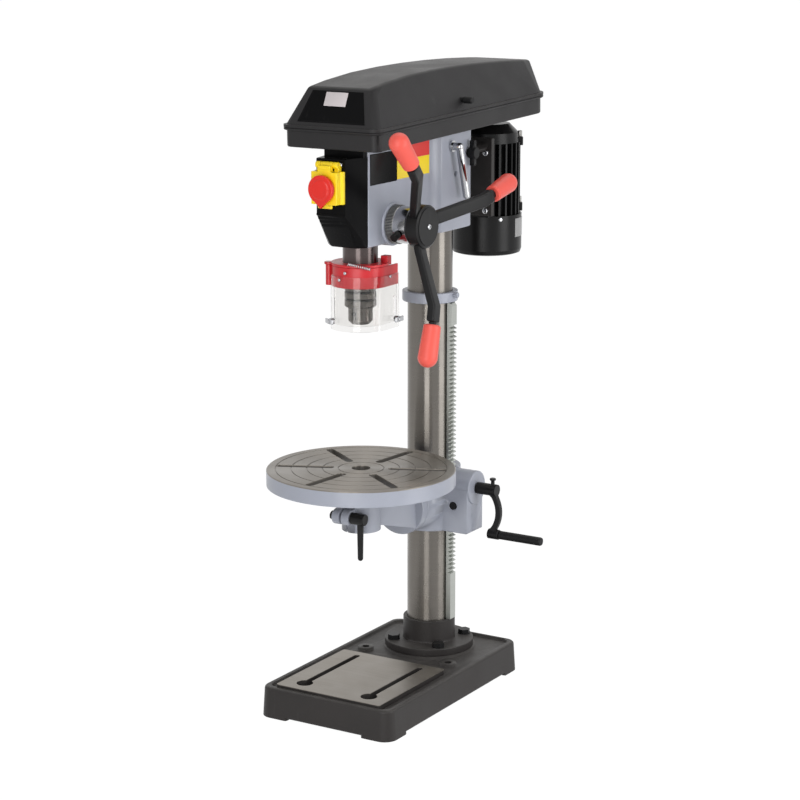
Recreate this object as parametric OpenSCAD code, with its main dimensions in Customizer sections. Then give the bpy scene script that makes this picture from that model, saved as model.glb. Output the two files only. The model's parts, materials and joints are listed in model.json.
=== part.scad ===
// Bench pillar drill: slotted base, column with a swinging rack, round tilting table raised by a worm,
// and a belt-driven head with a geared chuck on a rack-fed quill.
// X is the operator's right, Y points away from the operator, Z is up, in millimetres.
// The origin lies on the bench, midway between the two bench-bolt holes.

/* [Layout] */
// Distance from the bench bolts back to the column axis
bolts_to_column = 71.5; // [69:0.5:76]
// Distance from the column axis forward to the spindle axis
spindle_reach = 205.5; // [203:0.5:208]
// Distance from the column axis back to the motor axis
motor_reach = 181; // [178:0.5:184]
// Height of the underside of the head casting
head_bottom = 733; // [715:1:760]
// Height of the table's top face
table_top = 387; // [375:1:400]

/* [Base] */
// Width of the base at its rim
base_w = 233; // [225:1:245]
// Length of the base at its rim
base_l = 403; // [398:1:415]
// Height of the rim
base_h = 48; // [45:1:52]
// How far the base reaches in front of the column axis
base_front = 315; // [312:1:320]
// Corner radius of the rim
base_corner = 18; // [14:1:22]
// How far the foot flares out past the rim
foot_flare = 3; // [1:0.5:5]
// Length of each corner foot
foot_l = 49; // [40:1:60]
// Height of the arch between the feet
arch_h = 3; // [2:0.5:5]
// Thickness of the side walls
base_wall = 9; // [7:0.5:11]
// Thickness of the deck
deck_t = 10; // [8:0.5:12]
// Width of the lip round the deck
lip_w = 9; // [7:0.5:10]
// Depth of the deck below the lip
recess_d = 4; // [2:0.5:6]
// Thickness of the ribs under the deck
rib_t = 8; // [6:0.5:10]
// Width of the machined pad
pad_w = 188; // [180:1:192]
// Length of the machined pad
pad_l = 195; // [190:1:200]
// Rise of the pad above the deck
pad_rise = 8; // [5:0.5:10]
// Distance from the front rim to the pad
pad_gap = 10; // [9.5:0.5:14]
// Distance between the two clamping slots
slot_gauge = 117; // [105:1:125]
// Width of a clamping slot
slot_w = 10; // [8:0.5:12]
// Length of a clamping slot, from the keyhole's centre
slot_l = 150; // [140:1:154]
// Diameter of the keyhole at the front of a slot
keyhole_d = 26; // [22:1:30]
// Distance from the pad's front edge to the keyhole's centre
keyhole_gap = 27; // [22:1:30]
// Distance between the two bench bolts
bench_gauge = 154; // [150:1:158]
// Diameter of a bench-bolt hole
bench_hole_d = 12; // [10:0.5:14]
// Diameter of a bench-bolt boss
bench_boss_d = 27; // [24:1:30]

/* [Column] */
// Diameter of the column
column_d = 71; // [68:0.5:73]
// Wall of the column tube
column_wall = 5; // [3:0.5:8]
// How far the column reaches up into the head
column_in_head = 101; // [90:1:104]
// Diameter of the column flange
flange_d = 144; // [140:1:148]
// Thickness of the column flange
flange_t = 12; // [10:0.5:15]
// Diameter of the flange's collar
collar_d = 84; // [81:0.5:87]
// Height of the flange's collar
collar_h = 37; // [30:1:42]
// Pitch circle of the flange bolts
flange_pcd = 118; // [115:1:121]
// Diameter of the flange bolts
flange_bolt_d = 10; // [8:1:12]
// Width across the flats of the flange bolts
flange_bolt_af = 17; // [15:1:18]

/* [Rack and elevating gear] */
// Module of the rack, gear and worm
gear_module = 2.2; // [2.1:0.05:2.3]
// Number of teeth on the elevating gear
gear_teeth = 16; // [16]
// Width of the rack
rack_w = 16; // [14:0.5:18]
// Depth of the rack from the column to its tooth tips
rack_depth = 9; // [8.5:0.25:9.5]
// Height of the lowest rack tooth
rack_teeth_low = 174; // [165:1:180]
// Height of the highest rack tooth
rack_teeth_high = 580; // [560:1:585]
// Height of the rack ring's lower face
ring_z = 617; // [605:1:630]
// Height of the rack ring
ring_h = 16; // [14:0.5:20]
// Diameter of the rack ring
ring_d = 88; // [87:0.5:92]
// Pitch radius of the worm
worm_r = 10; // [9.5:0.25:10.5]
// Turns on the worm
worm_turns = 2.6; // [2:0.1:3]
// Radius of the worm's journal
worm_journal_r = 7; // [6.5:0.25:7.5]

/* [Table bracket] */
// Distance from the table top down to the gear axis
gear_drop = 93; // [90:1:95]
// Distance from the table top down to the tilt axis
tilt_drop = 87; // [84:1:90]
// Distance from the table top down to the bracket's lower face
sleeve_drop = 137; // [134:1:142]
// Height of the bracket's sleeve
sleeve_h = 100; // [95:1:104]
// Diameter of the bracket's sleeve
sleeve_d = 100; // [98:1:104]
// How far the gearbox reaches to the right of the column axis
gearbox_right = 85; // [83:1:90]
// How far the gearbox reaches in front of the column axis
gearbox_front = 28; // [26:1:30]
// How far the gearbox reaches behind the column axis
gearbox_back = 22; // [20:1:26]
// Radius of the worm's boss
worm_boss_r = 27; // [24:1:30]
// Radius of the tilt flanges
tilt_r = 45; // [42:1:47]
// Distance from the column axis forward to the tilt joint
tilt_face = 80; // [74:1:84]
// Throw of the crank
crank_throw = 72; // [60:1:80]
// Length of the crank's grip
crank_grip_l = 75; // [60:1:90]

/* [Table] */
// Diameter of the table
table_d = 290; // [286:1:294]
// Height of the table's rim
table_rim_h = 24; // [22:0.5:26]
// Thickness of the table's top
table_t = 13; // [11:0.5:15]
// Width of the rim
table_rim_w = 9; // [7:0.5:11]
// Diameter of the hole through the table's centre
table_hole_d = 29; // [25:0.5:30]
// Number of radial slots
table_slots = 6; // [6]
// Width of a radial slot
table_slot_w = 13; // [11:0.5:14]
// Distance from the centre to a slot's inner end
table_slot_in = 48; // [45:1:54]
// Distance from the centre to a slot's outer end
table_slot_out = 125; // [118:1:128]
// Turn of the first slot from the X axis
table_slot_turn = 25; // [20:1:30]
// Distance between the concentric grooves
groove_step = 24; // [20:0.5:25]
// Radius of the innermost groove
groove_first = 35; // [30:0.5:36]
// Diameter of the table's stem
stem_d = 40; // [38:0.5:44]
// Diameter of the arm's clamp boss
boss_d = 60; // [58:0.5:64]
// Height of the arm's clamp boss
boss_h = 61; // [56:1:64]

/* [Quill and chuck] */
// Diameter of the quill
quill_d = 53; // [52.5:0.25:53.5]
// Travel of the quill
quill_travel = 80; // [70:1:82]
// Length of the quill
quill_l = 180; // [178:1:184]
// Module of the quill rack and feed pinion
feed_module = 1.8; // [1.75:0.05:1.85]
// Number of teeth on the feed pinion
feed_teeth = 14; // [14]
// Height of the feed axis above the head's underside
feed_rise = 28; // [26:0.5:32]
// Diameter of the chuck's sleeve
chuck_sleeve_d = 48; // [46:0.5:50]
// Diameter of the chuck's nose
chuck_nose_d = 37; // [35:0.5:38]
// Diameter of the chuck's mouth
chuck_mouth_d = 16.5; // [15:0.5:17]
// Slope of the jaws to the chuck's axis
jaw_slope = 15; // [14:0.5:16]
// Travel of a jaw along its channel
jaw_travel = 18; // [12:1:18]

/* [Guard] */
// Radius of the guard's frame
guard_r = 43.5; // [42:0.5:46]
// Distance from the spindle back to the end of the guard's right side
guard_back = 37.5; // [30:0.5:40]
// Height of the guard's frame
guard_frame_h = 31; // [26:1:33]
// Height of the clear shield
shield_h = 82; // [75:1:88]
// Thickness of the clear shield
shield_t = 1.5; // [1:0.1:2]

/* [Head] */
// Half width of the head at the quill
head_half = 35; // [34:0.5:37]
// Half width of the head at the column
head_rear_half = 50; // [49:0.5:54]
// Distance from the column axis forward to the casting's front
head_front = 238; // [236:0.5:241]
// Distance from the column axis back to the casting's rear
head_back = 48; // [47:0.5:52]
// Distance from the column axis forward to the front cover's face
cover_front = 285; // [282:1:288]
// Half width of the front cover's face
cover_half = 25; // [23:0.5:27]
// Height of the front cover
cover_h = 135; // [130:1:138]
// Wall of the front cover
cover_wall = 3; // [2:0.25:4]

/* [Belt housing] */
// Height of the tray's front edge above the head's underside
tray_rise = 148; // [146:0.5:150]
// Rise of the housing towards the rear, in degrees
housing_tilt = 1.8; // [1:0.1:2.2]
// Distance from the column axis forward to the tray's front
tray_front = 285.5; // [283:0.5:289]
// Length of the tray
tray_l = 525; // [521:1:531]
// Width of the tray
tray_w = 162; // [160:0.5:166]
// Height of the tray up to the parting line
tray_h = 29; // [26:0.5:31]
// Wall of the tray and lid
housing_wall = 3; // [2:0.25:3.5]
// How far the rim band stands out
rim_out = 4.8; // [3:0.2:6]
// Height of each half of the rim band
rim_h = 4; // [3:0.25:5]
// Height of the lid's roof above the tray's underside
roof_h = 98; // [96:0.5:103]
// Half width of the roof
roof_half = 52; // [50:0.5:56]
// Diameter of the lid's hinge pins
lid_pin_d = 5; // [4:0.5:6]

/* [Drive] */
// Radius of the spindle pulley's largest step, at the bottom
spindle_pulley_r = 56; // [54:0.5:57]
// Radius of the idler pulley's largest step, at the top
idler_pulley_r = 54; // [52:0.5:55]
// Radius of the motor pulley's largest step, at the bottom
motor_pulley_r = 48; // [46:0.5:50]
// Change of radius from one pulley step to the next
pulley_drop = 8; // [7:0.25:8]
// Height of one pulley step
step_h = 15; // [14:0.5:15.5]
// Height of the pulleys above the head's underside
pulley_rise = 169; // [168.5:0.5:171]
// Distance from the column axis forward to the idler axis
idler_reach = 12; // [8:0.5:16]
// Radius of the motor's body over its fins
motor_r = 54; // [52:0.5:55]
// Height of the motor's body
motor_body_h = 116; // [110:1:120]
// Radius of the fan cover
fan_r = 57; // [56:0.5:58]
// Height of the fan cover
fan_h = 65; // [60:1:70]
// Number of fins round the motor
motor_fins = 28; // [20:1:32]
// Diameter of the motor's slide bars
bar_d = 16; // [14:0.5:18]
// Distance between the slide bars
bar_gauge = 60; // [56:1:62]
// Travel of the motor towards the head
motor_travel = 20; // [15:1:22]

/* [Feed handle] */
// Distance from the head's side to the hub's outer face
hub_reach = 62; // [60:0.5:65]
// Radius of the hub
hub_r = 32.5; // [31:0.5:34]
// Thickness of the hub
hub_t = 25; // [22:0.5:27]
// Radius to the tips of the grips
grip_tip_r = 208; // [200:1:220]
// Length of a grip
grip_l = 64; // [56:1:70]
// Radius of a grip
grip_r = 15; // [13:0.5:16]
// Turn of the first arm from upright towards the rear
arm_turn = 76; // [70:1:85]
// Radius of the depth ring
depth_r = 29.5; // [28:0.5:31]

/* [Switch] */
// Width of the switch
switch_w = 50; // [48:1:54]
// Height of the switch
switch_h = 48; // [46:1:50]
// Height of the switch's lower edge above the head's underside
switch_rise = 70; // [68:1:72]

/* [Fits] */
// Radial gap of a turning or sliding fit
run_gap = 0.06; // [0.03:0.01:0.1]
// Gap between pieces that are held together
seat_gap = 0.02; // [0.01:0.01:0.05]
// Gap between flat faces that move past each other
face_gap = 0.3; // [0.2:0.05:0.5]

/* [Hidden] */
$fn = 64;
pressure = 20;
cut = 1;

column_y = bolts_to_column;
spindle_y = column_y - spindle_reach;
motor_y = column_y + motor_reach;
column_r = column_d / 2;
quill_r = quill_d / 2;

deck_low = base_h - recess_d - deck_t;
pad_top = base_h - recess_d + pad_rise;
base_y = column_y - base_front + base_l / 2;
pad_front_y = column_y - base_front + pad_gap;
keyhole_y = pad_front_y + keyhole_gap;
land_d = flange_d + 6;
flange_top = base_h + flange_t;
collar_top = flange_top + collar_h;
bolt_head_h = 7.5;
bolt_shank_l = 30;

rack_pitch = PI * gear_module;
rack_tip = column_r + rack_depth;
gear_r = gear_module * gear_teeth / 2;
gear_x = rack_tip - gear_module + gear_r;
gear_z = table_top - gear_drop;
gear_w = 13;
gear_pin_r = 6;
tooth_slack = 0.25;
worm_z = gear_z + gear_r + worm_r;
tilt_z = table_top - tilt_drop;
tilt_bolt_r = 8;
lock_screw_r = 6;
worm_boss_face = gearbox_right + 3;
crank_x = worm_boss_face + face_gap;
crank_hub_l = 36;
crank_hub_r = 9.5;
crank_pin_r = 4;
grip_x = crank_x + crank_hub_l + 5;
shaft_end = crank_x + crank_hub_l - 6;
sleeve_low = table_top - sleeve_drop;
rack_low = collar_top + face_gap;
rack_high = ring_z + 4;

table_r = table_d / 2;
boss_top = table_top - table_rim_h - 11;
boss_low = boss_top - boss_h;
clamp_z = boss_low + 27;
clamp_y = boss_d / 2 + 9.5;
clamp_x = -7;

feed_r = feed_module * feed_teeth / 2;
feed_pitch = PI * feed_module;
quill_rack_y = 25;
feed_y = spindle_y + quill_rack_y + feed_r;
feed_z = head_bottom + feed_rise;
quill_top = head_bottom + 119;
quill_low = quill_top - quill_l;
bearing_r = 20;
bearing_w = 12;
spindle_seat_r = 10;
spindle_shaft_r = 8.5;
spindle_top = head_bottom + 217;

sleeve_top_z = quill_low - 3;
sleeve_low_z = quill_low - 34;
nose_low = quill_low - 60;
chuck_core_r = 19;
jaw_r = 4;
jaw_start_r = 5.4;
jaw_l = 30;

guard_low = quill_low - 1;
guard_plate_z = guard_low + guard_frame_h + face_gap;
guard_plate_t = 4;
hinge_turn = 211;
hinge_r = guard_r + 3.5;
shield_low = quill_low - 66;

hub_face = head_half + hub_reach;
hub_back = hub_face - hub_t;
journal_r = 14.5;
small_journal_r = 9;
hub_seat_r = 10;

pulley_z = head_bottom + pulley_rise;
pulley_levels = 4;
pulley_h = step_h * pulley_levels;
spindle_steps = [for (i = [0:pulley_levels - 1]) spindle_pulley_r - i * pulley_drop];
idler_steps = [for (i = [0:pulley_levels - 1]) idler_pulley_r - (pulley_levels - 1 - i) * pulley_drop];
motor_steps = [for (i = [0:pulley_levels - 1]) motor_pulley_r - i * pulley_drop];
pulley_sleeve_low = head_bottom + 126;
pulley_sleeve_r = 13;
idler_y = column_y - idler_reach;
belt_w = 9;
belt_t = 6;
groove_depth = 8;
sleeve_bearing_r = 21;
bar_z = head_bottom + 116;
motor_top = head_bottom + 148;
motor_low = motor_top - 31 - motor_body_h;
fan_low = motor_low - fan_h;
plate_front = motor_reach - motor_r - 14;
lever_y = column_y - 20;
lever_z = head_bottom + 131;
lock_y = column_y + 32;

flap_z = head_bottom + switch_rise + switch_h + 9;
flap_y = column_y - cover_front - 8;
flap_d = 11;
stem_r = 7;
paddle_travel = 3;

hinge_places = [110, 360];
knuckle_r = 4.5;
knuckle_l = 14;
knuckle_x = -tray_w / 2 - rim_out - knuckle_r - face_gap;
roof_mid = 195;
knob_y = 254;
knob_z = 48.5;
knob_x = tray_w / 2 - 6;
pivot_low = bar_z + bar_d / 2 + 2;
pivot_x = -25;
arm_splay = 40;

cast_grey = [0.62, 0.64, 0.69];
charcoal = [0.22, 0.21, 0.21];
satin_black = [0.1, 0.1, 0.11];
ground_steel = [0.72, 0.72, 0.7];
bright_steel = [0.8, 0.8, 0.8];
guard_red = [0.84, 0.16, 0.19];
grip_red = [0.95, 0.36, 0.3];
switch_yellow = [0.97, 0.86, 0.1];

// Places and directions

module on_column(z = 0) { translate([0, column_y, z]) children(); }
module on_spindle(z = 0) { translate([0, spindle_y, z]) children(); }
module on_motor(z = 0) { translate([0, motor_y, z]) children(); }
module along_x() { rotate([0, 90, 0]) children(); }
module along_y() { rotate([-90, 0, 0]) children(); }
module both_sides() { children(); mirror([1, 0, 0]) children(); }

module in_housing() {
    translate([0, column_y - tray_front, head_bottom + tray_rise])
        rotate([housing_tilt, 0, 0])
            children();
}

// Plane shapes

module rounded_rect(w, l, r) {
    square([w - 2 * r, l], center = true);
    square([w, l - 2 * r], center = true);
    for (x = [-1, 1], y = [-1, 1])
        translate([x * (w / 2 - r), y * (l / 2 - r)]) circle(r);
}

module rounded_plate(w, l, h, r) { linear_extrude(h) rounded_rect(w, l, r); }

module slot_shape(l, w) {
    translate([0, -w / 2]) square([l, w]);
    circle(w / 2);
    translate([l, 0]) circle(w / 2);
}

module sector(from, to, r) {
    steps = 8;
    polygon(concat([[0, 0]], [for (i = [0:steps]) let (a = from + (to - from) * i / steps) r * [cos(a), sin(a)]]));
}

module ring(outer, inner, h) {
    difference() {
        cylinder(r = outer, h = h);
        translate([0, 0, -cut]) cylinder(r = inner, h = h + 2 * cut);
    }
}

// Teeth

function polar(r, a) = r * [cos(a), sin(a)];
function involute(r, base_r) = let (q = sqrt(max(0, r * r / base_r / base_r - 1))) q * 180 / PI - atan(q);
function half_tooth(r, n, m) =
    let (pitch_r = n * m / 2, base_r = pitch_r * cos(pressure))
    90 / n - tooth_slack / pitch_r * 180 / PI + involute(pitch_r, base_r) - involute(max(r, base_r), base_r);

function gear_outline(n, m) =
    let (pitch_r = n * m / 2, base_r = pitch_r * cos(pressure), top_r = pitch_r + 0.9 * m)
    let (radii = [pitch_r - 1.25 * m, base_r, (base_r + top_r) / 2, top_r])
    [for (i = [0:n - 1], k = [0:2 * len(radii) - 1])
        let (rising = k < len(radii), r = radii[rising ? k : 2 * len(radii) - 1 - k])
        polar(r, i * 360 / n + (rising ? -1 : 1) * half_tooth(r, n, m))];

function rack_tooth(z, pitch_x, m) =
    let (half = PI * m / 4 - tooth_slack, tip = 0.9 * m, root = 1.25 * m)
    [[pitch_x - root, z - half - root * tan(pressure)], [pitch_x + tip, z - half + tip * tan(pressure)],
     [pitch_x + tip, z + half - tip * tan(pressure)], [pitch_x - root, z + half + root * tan(pressure)]];

// Base and column

module base() {
    color(charcoal) difference() {
        union() {
            translate([0, base_y, 0]) base_shell();
            on_column(deck_low) cylinder(d = land_d, h = base_h - deck_low);
            both_sides() translate([bench_gauge / 2, 0, 0]) cylinder(d = bench_boss_d, h = base_h + cut);
        }
        translate([0, 0, deck_low]) pad_block(seat_gap, base_h);
        both_sides() translate([bench_gauge / 2, 0, -cut]) cylinder(d = bench_hole_d, h = base_h + 3 * cut);
        flange_holes(base_h - bolt_shank_l, flange_bolt_d / 2 + seat_gap);
    }
}

// The machined pad with its two keyhole slots, as the plate that fills the deck's window
module base_pad() {
    color(charcoal) translate([0, 0, deck_low]) difference() {
        pad_block(0, pad_top - deck_low);
        both_sides() translate([slot_gauge / 2, keyhole_y, -cut]) {
            linear_extrude(pad_top) rotate(90) slot_shape(slot_l, slot_w);
            cylinder(d = keyhole_d, h = pad_top);
        }
    }
}

module pad_block(gap, h) {
    translate([0, pad_front_y + pad_l / 2, 0]) rounded_plate(pad_w + 2 * gap, pad_l + 2 * gap, h, 4 + gap);
}

module base_shell() {
    difference() {
        hull() {
            rounded_plate(base_w + 2 * foot_flare, base_l + 2 * foot_flare, cut, base_corner + foot_flare, $fn = 32);
            translate([0, 0, base_h - cut]) rounded_plate(base_w, base_l, cut, base_corner, $fn = 32);
        }
        translate([0, 0, base_h - recess_d])
            rounded_plate(base_w - 2 * lip_w, base_l - 2 * lip_w, recess_d + cut, base_corner - lip_w / 2);
        translate([0, 0, -cut])
            rounded_plate(base_w - 2 * base_wall, base_l - 2 * base_wall, deck_low + cut, base_corner - base_wall - 5);
        for (span = [[base_w - 2 * foot_l, base_l * 2], [base_w * 2, base_l - 2 * foot_l]])
            translate([0, 0, arch_h / 2 - cut / 2]) cube([span[0], span[1], arch_h + cut], center = true);
    }
    rib_z = arch_h + 6;
    for (y = [-base_l / 4, 0, base_l / 4])
        translate([-base_w / 2 + base_wall, y - rib_t / 2, rib_z])
            cube([base_w - 2 * base_wall, rib_t, deck_low - rib_z]);
}

module flange_holes(z, r) {
    on_column(z)
        for (a = [45:90:315]) rotate(a) translate([flange_pcd / 2, 0, 0]) cylinder(r = r, h = base_h + flange_t);
}

module column_flange() {
    color(charcoal) difference() {
        on_column(base_h) {
            cylinder(d = flange_d, h = flange_t);
            cylinder(d1 = collar_d + 8, d2 = collar_d, h = flange_t + 4);
            cylinder(d = collar_d, h = flange_t + collar_h);
        }
        on_column(base_h - cut) cylinder(r = column_r + seat_gap, h = flange_t + collar_h + 2 * cut);
        flange_holes(base_h - cut, flange_bolt_d / 2 + run_gap);
    }
}

module flange_bolts() {
    color(satin_black) on_column(flange_top)
        for (a = [45:90:315]) rotate(a) translate([flange_pcd / 2, 0, 0]) hex_bolt();
}

module hex_bolt() {
    cylinder(d = flange_bolt_af / cos(30), h = bolt_head_h, $fn = 6);
    cylinder(d = flange_bolt_af + 3, h = 1.6);
    translate([0, 0, -bolt_shank_l]) cylinder(d = flange_bolt_d, h = bolt_shank_l + cut);
}

module column() {
    color(ground_steel) on_column(base_h)
        ring(column_r, column_r - column_wall, head_bottom + column_in_head - base_h);
}

module rack_ring() {
    color(cast_grey) on_column(ring_z) {
        difference() {
            cylinder(d = ring_d, h = ring_h);
            translate([0, 0, -cut]) cylinder(r = column_r + seat_gap, h = ring_h + 2 * cut);
            translate([0, 0, -cut]) cylinder(r1 = column_r + 7.5, r2 = column_r, h = ring_h / 2 + cut);
            translate([column_r, 0, ring_h * 0.7]) along_x() cylinder(d = 6, h = ring_d);
        }
        translate([column_r + face_gap, 0, ring_h * 0.7]) along_x() {
            cylinder(d = 6, h = ring_d / 2 - column_r + 2);
            translate([0, 0, ring_d / 2 - column_r]) cylinder(d = 9, h = 7);
        }
    }
}

module rack() {
    low_k = ceil((rack_teeth_low - gear_z) / rack_pitch - 0.5);
    high_k = floor((rack_teeth_high - gear_z) / rack_pitch - 0.5);
    back = column_r + face_gap;
    pitch_x = rack_tip - gear_module;
    tip = pitch_x + 0.9 * gear_module;
    teeth = [for (k = [low_k:high_k]) each rack_tooth(gear_z + (k + 0.5) * rack_pitch, pitch_x, gear_module)];
    smooth_low = rack_tooth(gear_z + (low_k - 0.5) * rack_pitch, pitch_x, gear_module);
    smooth_high = rack_tooth(gear_z + (high_k + 1.5) * rack_pitch, pitch_x, gear_module);
    outline = concat(
        [[back, rack_low], [tip, rack_low], smooth_low[2], smooth_low[3]],
        teeth,
        [smooth_high[0], smooth_high[1], [tip, rack_high - 10], [back, rack_high]]
    );
    color(bright_steel) on_column() rotate([90, 0, 0]) linear_extrude(rack_w, center = true) polygon(outline);
}

// Table bracket and its gearing

module table_bracket() {
    gear_cut_r = gear_r + gear_module + 1;
    worm_cut_r = worm_r + gear_module + 1;
    color(cast_grey) on_column() difference() {
        union() {
            translate([0, 0, sleeve_low]) cylinder(d = sleeve_d, h = sleeve_h);
            translate([0, -gearbox_front, sleeve_low])
                cube([gearbox_right, gearbox_front + gearbox_back, worm_z - sleeve_low]);
            translate([column_r, 0, worm_z]) along_x() cylinder(r = worm_boss_r, h = worm_boss_face - column_r);
            translate([0, 0, tilt_z]) rotate([90, 0, 0]) cylinder(r = tilt_r, h = tilt_face);
            translate([-sleeve_d / 2 - 8, 0, tilt_z]) along_x() cylinder(r = 15, h = sleeve_d / 2);
        }
        translate([0, 0, sleeve_low - cut]) cylinder(r = column_r + run_gap, h = sleeve_h + worm_boss_r);
        translate([0, -rack_w / 2 - run_gap, sleeve_low - cut])
            cube([rack_tip + face_gap, rack_w + 2 * run_gap, sleeve_h + worm_boss_r + 2 * cut]);
        translate([gear_x, 0, gear_z]) along_y() cylinder(r = gear_cut_r, h = gear_w + 1.5, center = true);
        translate([gear_x, 0, gear_z]) along_y() cylinder(r = gear_pin_r + seat_gap, h = 3 * gearbox_front, center = true);
        translate([rack_tip - cut, 0, worm_z])
            along_x() cylinder(r = worm_cut_r, h = gear_x + rack_pitch * worm_turns / 2 + 5 - rack_tip);
        translate([gear_x, 0, worm_z]) along_x() cylinder(r = worm_journal_r + run_gap, h = gearbox_right);
        translate([0, 0, tilt_z]) rotate([90, 0, 0])
            translate([0, 0, tilt_face - 30]) cylinder(r = tilt_bolt_r + run_gap, h = 30 + cut);
        translate([-sleeve_d, 0, tilt_z]) along_x() cylinder(r = lock_screw_r + run_gap, h = sleeve_d);
    }
}

module gear_pin() {
    color(satin_black) on_column() translate([gear_x, 0, gear_z]) {
        translate([0, -gearbox_front - 1, 0]) along_y() cylinder(r = gear_pin_r, h = gearbox_front + gearbox_back + 1);
    }
}

module elevating_gear() {
    color(bright_steel) on_column() translate([gear_x, 0, gear_z]) rotate([90, 0, 0])
        linear_extrude(gear_w, center = true) difference() {
            polygon(gear_outline(gear_teeth, gear_module));
            circle(gear_pin_r + run_gap);
        }
}

// One ring of the worm's thread: two points at the root and two at the crest, on a right-hand helix
function thread_ring(t) =
    let (a = 360 * t, z = rack_pitch * (t + 0.5), root = worm_r - 1.25 * gear_module - 0.5, top = worm_r + 0.75 * gear_module)
    let (half_root = rack_pitch * 0.24, half_top = rack_pitch * 0.06)
    [[root * cos(a), root * sin(a), z - half_root], [top * cos(a), top * sin(a), z - half_top],
     [top * cos(a), top * sin(a), z + half_top], [root * cos(a), root * sin(a), z + half_root]];

module worm_thread() {
    per_turn = 18;
    count = round(worm_turns * per_turn);
    points = [for (i = [0:count]) each thread_ring(i / per_turn - worm_turns / 2 - 0.5)];
    walls = [for (i = [0:count - 1], j = [0:3]) let (a = 4 * i + j, b = 4 * i + (j + 1) % 4)
        each [[a, b, a + 4], [b, b + 4, a + 4]]];
    end = 4 * count;
    polyhedron(points, concat([[2, 1, 0], [3, 2, 0]], walls, [[end, end + 1, end + 2], [end, end + 2, end + 3]]));
}

module worm_shaft() {
    root_r = worm_r - 1.25 * gear_module;
    thread_half = rack_pitch * worm_turns / 2;
    color(bright_steel) on_column() translate([0, 0, worm_z]) along_x() {
        translate([0, 0, gear_x]) worm_thread();
        translate([0, 0, gear_x - thread_half]) cylinder(r = root_r, h = 2 * thread_half);
        translate([0, 0, gear_x]) cylinder(r = worm_journal_r, h = shaft_end - gear_x);
    }
}

module crank_arm() {
    hub_mid = crank_x + crank_hub_l - 8;
    color(satin_black) on_column() translate([0, 0, worm_z]) {
        difference() {
            translate([crank_x, 0, 0]) along_x() cylinder(r = crank_hub_r, h = crank_hub_l);
            translate([crank_x - cut, 0, 0]) along_x()
                cylinder(r = worm_journal_r + seat_gap, h = shaft_end - crank_x + cut + seat_gap);
        }
        rotate([90, 0, 0]) linear_extrude(9, center = true) difference() {
            translate([hub_mid - crank_throw / 2, -crank_throw / 2]) scale([1, 1]) circle(r = crank_throw * 0.72);
            translate([hub_mid - crank_throw / 2, -crank_throw / 2]) circle(r = crank_throw * 0.72 - 9);
            translate([hub_mid - 2 * crank_throw, -2 * crank_throw]) square([2 * crank_throw - 6, 4 * crank_throw]);
            translate([hub_mid - 12, -8]) square([60, 82]);
            translate([hub_mid - 12, -crank_throw - 60]) square([60, 60]);
        }
        translate([hub_mid - 6, 0, -crank_throw]) along_x() cylinder(r = 8, h = grip_x - face_gap - hub_mid + 6);
        translate([hub_mid, 0, -crank_throw]) along_x() cylinder(r = crank_pin_r, h = grip_x + crank_grip_l - 10 - hub_mid);
        translate([hub_mid, 0, worm_journal_r + 1]) cylinder(r = 3, h = crank_hub_r + 8 - worm_journal_r);
        translate([hub_mid, 0, crank_hub_r + 6]) cylinder(r = 5, h = 4);
    }
}

module crank_grip() {
    color(satin_black) on_column() translate([grip_x, 0, worm_z - crank_throw]) along_x()
        difference() {
            rotate_extrude() polygon([[0, 0], [6, 0], [6.8, 2], [6.8, crank_grip_l - 2], [6, crank_grip_l], [0, crank_grip_l]]);
            translate([0, 0, -cut]) cylinder(r = crank_pin_r + run_gap, h = crank_grip_l - 10 + face_gap + cut);
        }
}

module column_lock() {
    hub_x = -sleeve_d / 2 - 8 - face_gap;
    color(satin_black) on_column() translate([0, 0, tilt_z]) {
        translate([hub_x - 4, 0, 0]) along_x() cylinder(r = lock_screw_r, h = -column_r - face_gap - hub_x + 4);
        translate([hub_x - 16, 0, 0]) along_x() cylinder(r = 9, h = 16);
        clamp_lever(hub_x - 9, 62);
    }
}

module clamp_lever(x, l) {
    translate([x, 0, -l]) {
        cylinder(r1 = 4.2, r2 = 5.2, h = l);
        sphere(r = 4.2);
    }
}

// Table arm and table

module table_arm() {
    color(cast_grey) difference() {
        union() {
            on_column(tilt_z) translate([0, -tilt_face - face_gap, 0]) rotate([90, 0, 0]) cylinder(r = tilt_r, h = 15);
            hull() {
                on_column(tilt_z) translate([-32, -tilt_face - 16, -30]) cube([64, cut, 66]);
                on_spindle(boss_low + 10) translate([-24, 0, 0]) cube([48, cut, 44]);
            }
            on_spindle(boss_low) cylinder(d = boss_d, h = boss_h);
            on_spindle(clamp_z) translate([clamp_x - 15, -clamp_y, 0]) {
                along_x() cylinder(r = 12, h = 30);
                translate([0, 0, -12]) cube([30, clamp_y - stem_d / 2, 24]);
            }
        }
        on_spindle(boss_low - cut) cylinder(r = stem_d / 2 + run_gap, h = boss_h + 2 * cut);
        on_spindle(boss_low - cut) translate([clamp_x - 1.5, -clamp_y - 20, 0]) cube([3, clamp_y + 20, boss_h + 2 * cut]);
        on_spindle(clamp_z) translate([clamp_x - 40, -clamp_y, 0]) along_x() cylinder(r = 5 + run_gap, h = 80);
        on_column(tilt_z) rotate([90, 0, 0]) cylinder(r = tilt_bolt_r + run_gap, h = tilt_face + 40);
        on_column(tilt_z) translate([-17, -tilt_face - 50, -50]) cube([34, 50 - 15 - face_gap, 50 + 17]);
    }
}

module tilt_bolt() {
    head_y = tilt_face + 15 + face_gap;
    color(satin_black) on_column(tilt_z) rotate([90, 0, 0]) {
        translate([0, 0, tilt_face - 30 + cut]) cylinder(r = tilt_bolt_r, h = head_y - tilt_face + 30);
        translate([0, 0, head_y]) cylinder(d = 27, h = 11, $fn = 6);
    }
}

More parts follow.
